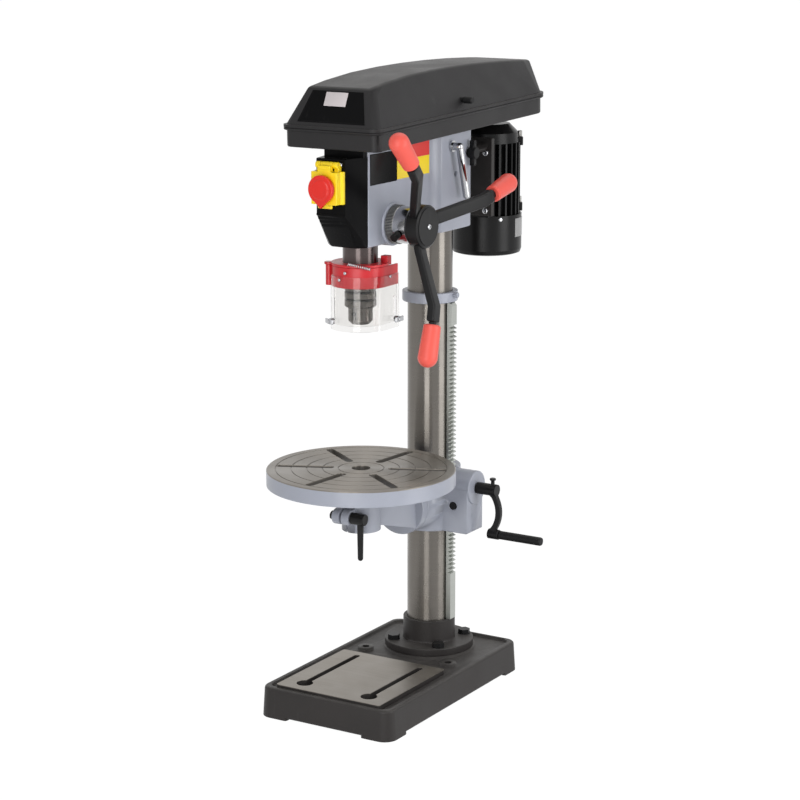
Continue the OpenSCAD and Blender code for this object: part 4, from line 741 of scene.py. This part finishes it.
class Workbench:
    """Adds primitives, shapes them in edit mode and finishes them."""

    # Distance of points that are merged, and angles of faces taken as flat and of edges that are rounded
    MERGE = 1e-6
    FLAT, SHARP, BEVEL_FROM = math.radians(0.4), math.radians(28.0), math.radians(40.0)
    # Rounded copies: room beside a rounding as a share of its width, width with one more step, smooth angle
    ROOM, BROAD, COPY_SMOOTH = 1.3, 0.0015, 50.0
    SCREW_SIDES, SCREW_SEAT = 24, 0.0002
    # Height, dome, rim, slope and recess of a screw head, as shares of its radius
    SCREW_H, SCREW_DOME, SCREW_RIM, SCREW_SLOPE, SCREW_RECESS = 0.62, 0.35, 0.28, 0.02, 0.25

    def __init__(self, wardrobe: Wardrobe) -> None:
        """Keeps the finishes and starts the count of pieces."""
        self.wardrobe = wardrobe
        self.count = 0

    @staticmethod
    def clear() -> None:
        """Deselects everything."""
        if bpy.context.object and bpy.context.object.mode != "OBJECT":
            bpy.ops.object.mode_set(mode="OBJECT")
        bpy.ops.object.select_all(action="DESELECT")

    def hold(self, piece: Piece) -> None:
        """Makes a piece the active and only selected one.

        Args:
            piece: The piece.
        """
        self.clear()
        bpy.context.view_layer.objects.active = piece
        piece.select_set(True)

    @staticmethod
    def settle(name: str) -> Piece:
        """Names the primitive that was just added and applies its place.

        Args:
            name: Name of the piece.

        Returns:
            The piece.
        """
        piece = bpy.context.object
        piece.name = name
        bpy.ops.object.transform_apply(location=True, rotation=True, scale=True)
        return piece

    def block(self, name: str, size: Vec3, at: Vec3) -> Piece:
        """Adds a box of a size at a place.

        Args:
            name: Name of the piece.
            size: Its sides in metres.
            at: Its middle.

        Returns:
            The piece.
        """
        self.clear()
        bpy.ops.mesh.primitive_cube_add(size=1.0, location=at)
        bpy.context.object.scale = size
        return self.settle(name)

    def round_bar(
        self, name: str, radius: float, length: float, at: Vec3, along: Vector, sides: int
    ) -> Piece:
        """Adds a round bar.

        Args:
            name: Name of the piece.
            radius: Its radius in metres.
            length: Its length in metres.
            at: Its middle.
            along: Its direction.
            sides: Number of sides.

        Returns:
            The piece.
        """
        self.clear()
        turn = UP.rotation_difference(along).to_euler()
        bpy.ops.mesh.primitive_cylinder_add(
            vertices=sides, radius=radius, depth=length, location=at, rotation=turn
        )
        return self.settle(name)

    @staticmethod
    def copy(node: str, name: str) -> Piece:
        """Adds a copy of a CAD node.

        Args:
            node: The node.
            name: Name of the copy.

        Returns:
            The copy.
        """
        piece = bpy.data.objects.new(name, frame["nodes"][node].data.copy())
        bpy.context.scene.collection.objects.link(piece)
        return piece

    def pick(self, piece: Piece, wanted: Test) -> None:
        """Enters edit mode with the wanted faces selected.

        Args:
            piece: The piece.
            wanted: Says whether a face is wanted.
        """
        self.hold(piece)
        bpy.ops.object.mode_set(mode="EDIT")
        bpy.ops.mesh.select_mode(type="FACE")
        bpy.ops.mesh.select_all(action="DESELECT")
        shape = bmesh.from_edit_mesh(piece.data)
        for face in filter(wanted, shape.faces):
            face.select_set(True)
        bmesh.update_edit_mesh(piece.data)

    def sink(self, piece: Piece, wanted: Test, border: float, edge: float, depth: float) -> None:
        """Sinks the wanted faces inside a border.

        Args:
            piece: The piece.
            wanted: Says whether a face is wanted.
            border: Width of the border in metres.
            edge: Width of the slope in metres.
            depth: Depth in metres.
        """
        self.pick(piece, wanted)
        bpy.ops.mesh.inset(thickness=border, depth=0.0)
        bpy.ops.mesh.inset(thickness=edge, depth=-depth)
        bpy.ops.object.mode_set(mode="OBJECT")

    def soften(self, piece: Piece, width: float, segments: int = 2) -> None:
        """Rounds the sharp edges with a bevel that is applied.

        Args:
            piece: The piece.
            width: Width of the bevel in metres.
            segments: Steps of the bevel.
        """
        self.hold(piece)
        bevel = piece.modifiers.new("soft_edges", "BEVEL")
        bevel.width = width
        bevel.segments = segments
        bevel.limit_method = "ANGLE"
        bevel.angle_limit = self.BEVEL_FROM
        bpy.ops.object.modifier_apply(modifier=bevel.name)

    def finish(
        self, piece: Piece, body: Optional[str], finish: str, slot: str, smooth: float = 35.0
    ) -> None:
        """Cleans a piece, dresses it and puts it on a body.

        Args:
            piece: The piece.
            body: The CAD body that it rides on, or None for a piece that is put on no body.
            finish: Its finish in the wardrobe.
            slot: The record's material slot; not used.
            smooth: Largest angle that is shaded smooth, in degrees.
        """
        self.hold(piece)
        bpy.ops.object.mode_set(mode="EDIT")
        bpy.ops.mesh.select_all(action="SELECT")
        bpy.ops.mesh.remove_doubles(threshold=self.MERGE)
        bpy.ops.mesh.normals_make_consistent(inside=False)
        bpy.ops.object.mode_set(mode="OBJECT")
        bpy.ops.object.shade_smooth_by_angle(angle=math.radians(smooth))
        wear(piece, self.wardrobe.made[finish])
        if body is not None:
            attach(piece, body)
        self.count += 1
        LOG.info("made %s on %s", piece.name, body or "two bodies")

    def soft_copy(self, rounding: Rounding) -> None:
        """Makes a copy of a CAD node with its outer edges rounded, which stands for the node.

        Args:
            rounding: The node, its finish and its rounding.
        """
        node, width = rounding.node, rounding.width
        piece = self.copy(node, node + "_soft")
        self.pick(piece, lambda face: True)
        bpy.ops.mesh.remove_doubles(threshold=self.MERGE)
        bpy.ops.object.mode_set(mode="OBJECT")
        self.pick(piece, lambda face: rounding.where(face.calc_center_median()))
        bpy.ops.mesh.dissolve_limited(angle_limit=self.FLAT)
        bpy.ops.mesh.select_mode(type="EDGE")
        bpy.ops.mesh.select_all(action="DESELECT")
        shape = bmesh.from_edit_mesh(piece.data)
        chosen = self.roomy_edges(shape, rounding)
        for edge in chosen:
            edge.select_set(True)
        bmesh.update_edit_mesh(piece.data)
        if chosen:
            steps = 3 if width > self.BROAD else 2
            bpy.ops.mesh.bevel(offset=width, segments=steps, affect="EDGES", clamp_overlap=False)
        bpy.ops.object.mode_set(mode="OBJECT")
        self.finish(piece, body_of(node), rounding.finish, slot_of(node), self.COPY_SMOOTH)
        even = piece.modifiers.new("even_shading", "WEIGHTED_NORMAL")
        even.keep_sharp = True
        bpy.ops.object.modifier_apply(modifier=even.name)
        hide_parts(node)
        LOG.info("rounded %d edges of %s", len(chosen), node)

    def roomy_edges(self, shape: bmesh.types.BMesh, rounding: Rounding) -> Set[bmesh.types.BMEdge]:
        """Finds the sharp outer edges that have room for a rounding at both ends.

        Args:
            shape: The mesh in edit mode.
            rounding: The rounding.

        Returns:
            The edges.
        """
        room = self.ROOM * rounding.width
        chosen = {
            edge for edge in shape.edges
            if edge.is_manifold and edge.is_convex and edge.calc_face_angle(0.0) > self.SHARP
            and all(rounding.where(corner.co) for corner in edge.verts)
        }
        while tight := {
            edge for edge in chosen for corner in edge.verts
            if any(other not in chosen and other.calc_length() < room for other in corner.link_edges)
        }:
            chosen -= tight
        return chosen

    def screw(
        self, name: str, at: Vec3, along: Sequence[float], radius: float, body: str, finish: str = "bright"
    ) -> None:
        """Makes a domed screw head with a round recess, seated at a place.

        Args:
            name: Name of the piece.
            at: Middle of its seat.
            along: Direction that the head faces.
            radius: Radius of the head in metres.
            body: The CAD body that it rides on.
            finish: Its finish.
        """
        way = Vector(along).normalized()
        height = radius * self.SCREW_H
        middle = Vector(at) + way * (height / 2 - self.SCREW_SEAT)
        piece = self.round_bar(name, radius, height, tuple(middle), way, self.SCREW_SIDES)
        self.pick(piece, lambda face: face.normal.dot(way) > FACING)
        bpy.ops.mesh.bevel(offset=radius * self.SCREW_DOME, segments=3, affect="EDGES")
        bpy.ops.object.mode_set(mode="OBJECT")
        shares = (self.SCREW_RIM, self.SCREW_SLOPE, self.SCREW_RECESS)
        self.sink(piece, lambda face: face.normal.dot(way) > SQUARE, *(radius * share for share in shares))
        self.finish(piece, body, finish, "bright_steel")


# Sub-assemblies


@dataclass
class Trim:
    """A set of pieces made at the workbench."""

    bench: Workbench

    def build(self) -> None:
        """Makes the pieces."""
        raise NotImplementedError


@dataclass
class Castings(Trim):
    """Castings, mouldings and levers whose edges are rounded."""

    bay_x: float = 0.0975
    bay_front: float = -0.2365
    bay_back: float = 0.155

    def build(self) -> None:
        """Makes the rounded copies."""
        for rounding in (
            Rounding("belt_lid", "housing", 0.0040), Rounding("belt_tray", "housing", 0.0022),
            Rounding("base", "base", 0.0040, self.outside_bays),
            Rounding("head", "enamel", 0.0022), Rounding("front_cover", "gloss_black", 0.0020),
            Rounding("table_bracket", "enamel", 0.0020), Rounding("table_arm", "enamel", 0.0020),
            Rounding("switch_box", "yellow", 0.0010), Rounding("switch_flap", "yellow", 0.0012),
            Rounding("stop_paddle", "stop_red", 0.0016), Rounding("feed_arms", "satin_black", 0.0030),
            Rounding("crank_arm", "satin_black", 0.0014), Rounding("column_flange", "charcoal", 0.0014),
            Rounding("rack_ring", "enamel", 0.0012), Rounding("table_lock", "satin_black", 0.0012),
            Rounding("column_lock", "satin_black", 0.0012), Rounding("guard_collar", "guard_red", 0.0008),
            Rounding("guard_frame", "guard_red", 0.0006), Rounding("motor_mount", "charcoal", 0.0012),
            Rounding("motor_lock", "grip_black", 0.0012),
        ):
            self.bench.soft_copy(rounding)

    def outside_bays(self, place: Vector) -> bool:
        """Says whether a place of the base lies outside its slots and bays."""
        return abs(place.x) > self.bay_x or not self.bay_front <= place.y <= self.bay_back


@dataclass
class BeltRuns(Trim):
    """The two belts, in runs cut from a copy of them, which are put on no body."""

    node: str = "belts"
    between_z: float = HEAD_Z + 0.199
    front: float = (SPINDLE_Y + IDLER_Y) / 2
    rear: float = (IDLER_Y + MOTOR_Y) / 2
    bend: float = 0.020

    def build(self) -> None:
        """Makes the runs."""
        half = self.bend / 2
        self.run("front_belt", -1.0, ("frame", "idler_arm"), (self.front - half, self.front + half))
        self.run("rear_belt_fore", 1.0, ("idler_arm", "frame"), (self.rear - self.bend, self.rear), True)
        self.run("rear_belt_aft", 1.0, ("frame", "motor"), (self.rear, self.rear + self.bend), False)

    def run(
        self, name: str, side: float, bodies: Tuple[str, str], span: Vec2, keep_front: Optional[bool] = None
    ) -> None:
        """Makes one run from a copy of the belts.

        Args:
            name: Name of the piece.
            side: Which belt is kept: 1.0 for the upper one, -1.0 for the lower one.
            bodies: The bodies at its front and rear ends; not used.
            span: Where it bends, along Y; not used.
            keep_front: Which part is kept of a belt cut across in the rear, or None for an uncut one.
        """
        piece = self.bench.copy(self.node, name)
        self.bench.pick(piece, lambda face: (face.calc_center_median().z - self.between_z) * side < 0.0)
        bpy.ops.mesh.delete(type="FACE")
        if keep_front is not None:
            bpy.ops.mesh.select_all(action="SELECT")
            bpy.ops.mesh.bisect(
                plane_co=(0.0, self.rear, 0.0), plane_no=(0.0, 1.0, 0.0), use_fill=True,
                clear_inner=not keep_front, clear_outer=keep_front,
            )
        bpy.ops.object.mode_set(mode="OBJECT")
        self.bench.finish(piece, None, "rubber", "belt_rubber")
        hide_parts(self.node)
        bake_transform(piece)


@dataclass
class HeadTrim(Trim):
    """Bare plates and screws on the head, cover and housing."""

    side: float = 0.035
    side_plate_t: float = 0.0008
    side_seat: float = 0.0001
    side_rim: Vec3 = (0.0012, 0.0004, 0.0002)
    side_plates: Tuple[Tuple[str, Vec2, Vec2, str], ...] = (
        ("side_plate_black", (-0.2330, -0.1585), (0.8250, 0.8710), "gloss_black"),
        ("side_plate_yellow", (-0.1575, -0.0585), (0.8265, 0.8545), "yellow"),
        ("side_plate_red", (-0.1575, -0.0585), (0.8547, 0.8770), "stop_red"),
    )
    cover_screw_at: Vec3 = (0.017, COLUMN_Y - 0.285, 0.8600)
    cover_screw_r: float = 0.0033
    tray_z: float = HEAD_Z + 0.148
    tray_front: float = COLUMN_Y - 0.2855
    peg_at: Vec3 = (-0.042, COLUMN_Y - 0.268, HEAD_Z + 0.148 + 0.0005)
    peg_r: float = 0.0042
    tilt: float = math.radians(1.8)
    lid_low: Vec2 = (0.00275, 0.0385)
    lid_high: Vec2 = (0.02475, 0.0825)
    lid_plate_w: float = 0.116
    lid_plate_t: float = 0.001
    lid_plate_taper: float = 0.75
    lid_seat: float = 0.0006
    lid_rim: Vec3 = (0.0015, 0.0004, 0.0003)
    badge_size: Vec3 = (0.0375, 0.0008, 0.0215)
    badge_at: Vec3 = (0.0, -0.0006, 0.0120)
    badge_soft: float = 0.0003

    def build(self) -> None:
        """Makes the trim."""
        for plate in self.side_plates:
            self.side_plate(*plate)
        self.lid_plate()
        x, y, z = self.cover_screw_at
        for side in (-1.0, 1.0):
            self.bench.screw("cover_screw", (side * x, y, z), (0, -1, 0), self.cover_screw_r, "frame")
        self.bench.screw("tray_peg", self.peg_at, (0, 0, -1), self.peg_r, "frame", "steel")

    def side_plate(self, name: str, along: Vec2, levels: Vec2, finish: str) -> None:
        """Makes one bare plate on the right side of the head.

        Args:
            name: Name of the piece.
            along: Distances of its front and rear edges from the column axis, along Y.
            levels: Heights of its lower and upper edges.
            finish: Its finish, which is the record's material slot too.
        """
        out = self.side + self.side_plate_t / 2 - self.side_seat
        size = (self.side_plate_t, along[1] - along[0], levels[1] - levels[0])
        piece = self.bench.block(name, size, (out, COLUMN_Y + sum(along) / 2, sum(levels) / 2))
        self.bench.sink(piece, lambda face: face.normal.x > FACING, *self.side_rim)
        self.bench.finish(piece, "frame", finish, finish)

    def lid_plate(self) -> None:
        """Makes the bare plate on the sloping front of the lid, with a pale badge."""
        (low_y, low_z), (high_y, high_z) = self.lid_low, self.lid_high
        rise_y, rise_z = high_y - low_y, high_z - low_z
        size = (self.lid_plate_w, self.lid_plate_t, math.hypot(rise_y, rise_z))
        piece = self.bench.block("lid_plate", size, (0.0, 0.0, 0.0))
        self.bench.pick(piece, lambda face: face.normal.z > FACING)
        bpy.ops.transform.resize(value=(self.lid_plate_taper, 1.0, 1.0))
        bpy.ops.object.mode_set(mode="OBJECT")
        self.bench.sink(piece, lambda face: face.normal.y < -FACING, *self.lid_rim)
        place = Matrix.Translation((0.0, self.tray_front, self.tray_z)) @ Matrix.Rotation(self.tilt, 4, "X")
        place = place @ Matrix.Translation((0.0, (low_y + high_y) / 2 - self.lid_seat, (low_z + high_z) / 2))
        place = place @ Matrix.Rotation(-math.atan2(rise_y, rise_z), 4, "X")
        piece.data.transform(place)
        self.bench.finish(piece, "lid", "gloss_black", "gloss_black")
        badge = self.bench.block("lid_badge", self.badge_size, self.badge_at)
        badge.data.transform(place)
        self.bench.soften(badge, self.badge_soft)
        self.bench.finish(badge, "lid", "pale_plate", "bright_steel")


@dataclass
class GuardTrim(Trim):
    """Wing nuts, spring and screws of the chuck guard."""

    nut_r: float = 0.0453
    nut_y: float = SPINDLE_Y + 0.0255
    nut_z: float = 0.6195
    nut_turn: float = 240.0
    nut_body: Vec2 = (0.0048, 0.007)
    nut_out: float = 0.0036
    nut_sides: int = 24
    nut_soft: float = 0.0005
    step_in: float = 0.0012
    step_h: float = 0.003
    wing_size: Vec3 = (0.003, 0.022, 0.0075)
    wing_out: float = 0.0075
    wing_soft: float = 0.0011
    face_r: float = 0.0467
    screw_r: float = 0.0024
    screws: Tuple[Vec2, ...] = ((-87.0, 0.6948), (-100.0, 0.6839), (14.7, 0.6857))
    spring_ends: Tuple[Vec3, Vec3] = ((0.0075, -0.1802, 0.7090), (0.0365, -0.1647, 0.7015))
    spring_r: float = 0.0021
    spring_wire: float = 0.0007
    spring_turns: int = 12
    steps_a_turn: int = 14
    spring_smooth: float = 60.0

    def build(self) -> None:
        """Makes the guard's fittings."""
        self.wing_nut((self.nut_r, self.nut_y, self.nut_z), Vector((1, 0, 0)))
        self.wing_nut(*self.round_place(self.nut_turn, self.nut_r, self.nut_z))
        self.spring()
        for turn, level in self.screws:
            at, way = self.round_place(turn, self.face_r, level)
            self.bench.screw("guard_screw", at, way, self.screw_r, "guard_frame")

    @staticmethod
    def round_place(turn: float, radius: float, level: float) -> Tuple[Vec3, Vector]:
        """Finds a place on a round face about the spindle."""
        way = Vector((math.cos(math.radians(turn)), math.sin(math.radians(turn)), 0.0))
        return (radius * way.x, SPINDLE_Y + radius * way.y, level), way

    def spring(self) -> None:
        """Winds the small spring along the front of the guard, by a screw modifier that is applied."""
        start, end = (Vector(place) for place in self.spring_ends)
        self.bench.clear()
        bpy.ops.mesh.primitive_circle_add(
            vertices=8, radius=self.spring_wire, location=(self.spring_r, 0, 0), rotation=(math.pi / 2, 0, 0)
        )
        piece = self.bench.settle("guard_spring")
        wind = piece.modifiers.new("wind", "SCREW")
        wind.angle = 2 * math.pi * self.spring_turns
        wind.screw_offset = (end - start).length
        wind.steps = wind.render_steps = self.steps_a_turn * self.spring_turns
        bpy.ops.object.modifier_apply(modifier=wind.name)
        self.bench.pick(piece, lambda face: True)
        bpy.ops.mesh.select_mode(type="EDGE")
        bpy.ops.mesh.select_all(action="DESELECT")
        bpy.ops.mesh.select_non_manifold()
        bpy.ops.mesh.edge_face_add()
        bpy.ops.object.mode_set(mode="OBJECT")
        turn = UP.rotation_difference(end - start).to_matrix().to_4x4()
        piece.data.transform(Matrix.Translation(start) @ turn)
        self.bench.finish(piece, "guard_frame", "bright", "bright_steel", self.spring_smooth)

    def wing_nut(self, at: Vec3, way: Vector) -> None:
        """Makes one wing nut on the shield.

        Args:
            at: Middle of its seat.
            way: Direction that it faces.
        """
        middle = tuple(Vector(at) + way * self.nut_out)
        piece = self.bench.round_bar("guard_nut", *self.nut_body, middle, way, self.nut_sides)
        self.bench.pick(piece, lambda face: face.normal.dot(way) > FACING)
        bpy.ops.mesh.inset(thickness=self.step_in, depth=0.0)
        bpy.ops.mesh.extrude_region_move(TRANSFORM_OT_translate={"value": tuple(way * self.step_h)})
        bpy.ops.object.mode_set(mode="OBJECT")
        self.bench.soften(piece, self.nut_soft)
        self.bench.finish(piece, "guard_frame", "bright", "bright_steel")
        wing = self.bench.block("guard_wing", self.wing_size, (0.0, 0.0, 0.0))
        basis = Matrix((way, way.cross(UP).normalized(), UP)).transposed().to_4x4()
        wing.data.transform(Matrix.Translation(Vector(at) + way * self.wing_out) @ basis)
        self.bench.soften(wing, self.wing_soft, 3)
        self.bench.finish(wing, "guard_frame", "bright", "bright_steel")


@dataclass
class DriveTrim(Trim):
    """Bolts, ears, screws and bare plate of the motor, and the screw of the feed hub."""

    bolt_at: Vec2 = (0.0354, MOTOR_Y - 0.0680)
    bolt_levels: Vec2 = (0.8394, 0.7466)
    bolt_r: float = 0.0048
    ear_levels: Vec2 = (0.8506, 0.7438)
    ear_turn: float = math.radians(31.3)
    ear_r: float = 0.0520
    ear_size: Vec3 = (0.0120, 0.0100, 0.0140)
    ear_soft: float = 0.0012
    stud_at: Vec2 = (0.0010, 0.0048)
    stud_r: float = 0.0036
    stud_h: float = 0.0100
    stud_soft: float = 0.0007
    fan_r: float = 0.0570
    fan_screw_z: float = 0.7290
    fan_screw_r: float = 0.0034
    fan_screw_turns: Vec3 = (-38.0, 82.0, 202.0)
    plate_z: float = 0.713
    plate_h: float = 0.030
    plate_t: float = 0.0008
    plate_soft: float = 0.0002
    plate_turn: float = math.radians(10.0)
    plate_span: float = math.radians(34.0)
    plate_steps: int = 12
    plate_out: float = 0.0003
    hub_face: float = 0.0970
    hub_screw_r: float = 0.0042

    def build(self) -> None:
        """Makes the fittings."""
        for level in self.bolt_levels:
            self.bench.screw("mount_bolt", (*self.bolt_at, level), (0, -1, 0), self.bolt_r, "motor")
        for level in self.ear_levels:
            self.ear(level)
        for turn in self.fan_screw_turns:
            out = (math.cos(math.radians(turn)), math.sin(math.radians(turn)), 0.0)
            at = (self.fan_r * out[0], MOTOR_Y + self.fan_r * out[1], self.fan_screw_z)
            self.bench.screw("fan_screw", at, out, self.fan_screw_r, "motor")
        self.motor_plate()
        self.bench.screw("hub_screw", (self.hub_face, *FEED_AT), (1, 0, 0), self.hub_screw_r, "feed")

    def ear(self, level: float) -> None:
        """Makes one clamp ear on the motor's side, with its stud.

        Args:
            level: Height of its middle.
        """
        turn = Matrix.Translation((0.0, MOTOR_Y, level)) @ Matrix.Rotation(self.ear_turn, 4, "Z")
        piece = self.bench.block("motor_ear", self.ear_size, (self.ear_r, 0.0, 0.0))
        piece.data.transform(turn)
        self.bench.soften(piece, self.ear_soft)
        self.bench.finish(piece, "motor", "motor_black", "motor_black")
        at = turn @ Vector((self.ear_r + self.stud_at[0], 0.0, self.ear_size[2] / 2 + self.stud_at[1]))
        stud = self.bench.round_bar("ear_stud", self.stud_r, self.stud_h, tuple(at), UP, 6)
        self.bench.soften(stud, self.stud_soft)
        self.bench.finish(stud, "motor", "steel", "bright_steel")

    def motor_plate(self) -> None:
        """Makes the bare plate on the fan cover, bent to its round side."""
        size = (self.plate_t, self.fan_r * self.plate_span, self.plate_h)
        piece = self.bench.block("motor_plate", size, (0.0, 0.0, self.plate_z))
        self.bench.pick(piece, lambda face: abs(face.normal.y) < 0.1)
        bpy.ops.mesh.subdivide(number_cuts=self.plate_steps)
        bpy.ops.object.mode_set(mode="OBJECT")
        for point in piece.data.vertices:
            turn = self.plate_turn + point.co.y / self.fan_r
            out = self.fan_r + self.plate_out + point.co.x
            point.co = (out * math.cos(turn), MOTOR_Y + out * math.sin(turn), point.co.z)
        self.bench.soften(piece, self.plate_soft, 1)
        self.bench.finish(piece, "motor", "bare_plate", "satin_black")


# Stage


@dataclass(frozen=True)
class Softbox:
    """A soft lamp that faces the drill."""

    name: str
    at: Vec3
    power: float
    wide: float
    tall: float


@dataclass
class Studio:
    """Floor, lamps, sky and camera."""

    effects: Effects
    camera_at: Vec3 = (1.8434, -3.0444, 1.2671)
    camera_turn: Vec3 = (math.radians(77.34), 0.0, math.radians(31.36))
    lens: float = 104.65
    sensor: float = 36.0
    lamps: Tuple[Softbox, ...] = (
        Softbox("left_strip", (0.44, -1.46, 0.86), 14.0, 0.70, 1.7),
        Softbox("right_strip", (1.60, 0.16, 0.86), 15.0, 0.85, 1.7),
        Softbox("top", (0.0, 0.6, 3.2), 16.0, 2.0, 2.0),
    )
    aim: Vec3 = (0.0, 0.0, 0.60)
    sky: float = 0.26
    floor_size: float = 80.0
    floor_z: float = -0.0002
    floor_grey: float = 0.86
    floor_glow: float = 1.09
    glow_share: float = 0.90

    def build(self) -> None:
        """Sets up the stage."""
        self.floor()
        self.world()
        for box in self.lamps:
            self.lamp(box)
        self.camera()

    @staticmethod
    def backdrop_share(graph: Graph) -> Socket:
        """Makes a mask of the rays that look at the background, straight, mirrored or through a clear piece.

        Args:
            graph: The nodes.

        Returns:
            The mask.
        """
        rays = graph.node("LightPath").outputs
        mask = rays["Is Camera Ray"]
        for kind in ("Glossy", "Transmission"):
            mask = graph.math("MAXIMUM", mask, rays[f"Is {kind} Ray"])
        return mask

    def floor(self) -> None:
        """Lays the pale floor, which keeps a faint shadow."""
        Workbench.clear()
        bpy.ops.mesh.primitive_plane_add(size=self.floor_size, location=(0.0, 0.0, self.floor_z))
        piece = bpy.context.object
        piece.name = "floor"
        sheet = Sheet("pale_floor", self.effects)
        sheet.shade(Base_Color=(self.floor_grey, self.floor_grey, self.floor_grey, 1.0), Roughness=0.9)
        glow = sheet.node("Emission", Strength=self.floor_glow).outputs["Emission"]
        share = sheet.math("MULTIPLY", self.backdrop_share(sheet), self.glow_share)
        mixed = sheet.node("MixShader", share, sheet.tree.nodes["Principled BSDF"].outputs["BSDF"], glow)
        sheet.put(mixed.outputs["Shader"], sheet.tree.nodes["Material Output"].inputs["Surface"])
        wear(piece, sheet.material)

    def world(self) -> None:
        """Sets a soft white sky that looks plain white to the camera."""
        world = bpy.data.worlds.new("soft_sky")
        bpy.context.scene.world = world
        world.use_nodes = True
        graph = Graph(world.node_tree)
        back = graph.tree.nodes["Background"].inputs
        graph.put(graph.span(self.backdrop_share(graph), self.sky, 1.0), back["Strength"])
        graph.put((1.0, 1.0, 1.0, 1.0), back["Color"])

    def lamp(self, box: Softbox) -> None:
        """Adds a soft lamp.

        Args:
            box: Its place, power and size.
        """
        data = bpy.data.lights.new(box.name, "AREA")
        data.shape = "RECTANGLE"
        data.energy = box.power
        data.size, data.size_y = box.wide, box.tall
        lamp = bpy.data.objects.new(box.name, data)
        lamp.location = box.at
        lamp.rotation_euler = (Vector(self.aim) - Vector(box.at)).to_track_quat("-Z", "Y").to_euler()
        lamp.visible_camera = False
        bpy.context.scene.collection.objects.link(lamp)

    def camera(self) -> None:
        """Adds the camera at the photograph's viewpoint."""
        data = bpy.data.cameras.new("view")
        data.sensor_width = self.sensor
        data.lens = self.lens
        camera = bpy.data.objects.new("view", data)
        camera.location = self.camera_at
        camera.rotation_euler = self.camera_turn
        bpy.context.scene.collection.objects.link(camera)
        bpy.context.scene.camera = camera
        bpy.context.scene.view_settings.view_transform = "Standard"


def main() -> None:
    """Dresses the drill and sets its stage."""
    logging.basicConfig(level=logging.INFO)
    effects = Effects()
    wardrobe = Wardrobe(effects)
    wardrobe.dress()
    bench = Workbench(wardrobe)
    for trim in (Castings, BeltRuns, HeadTrim, GuardTrim, DriveTrim):
        trim(bench).build()
    Studio(effects).build()
    LOG.info("%d pieces made", bench.count)


if __name__ == "__main__":
    main()
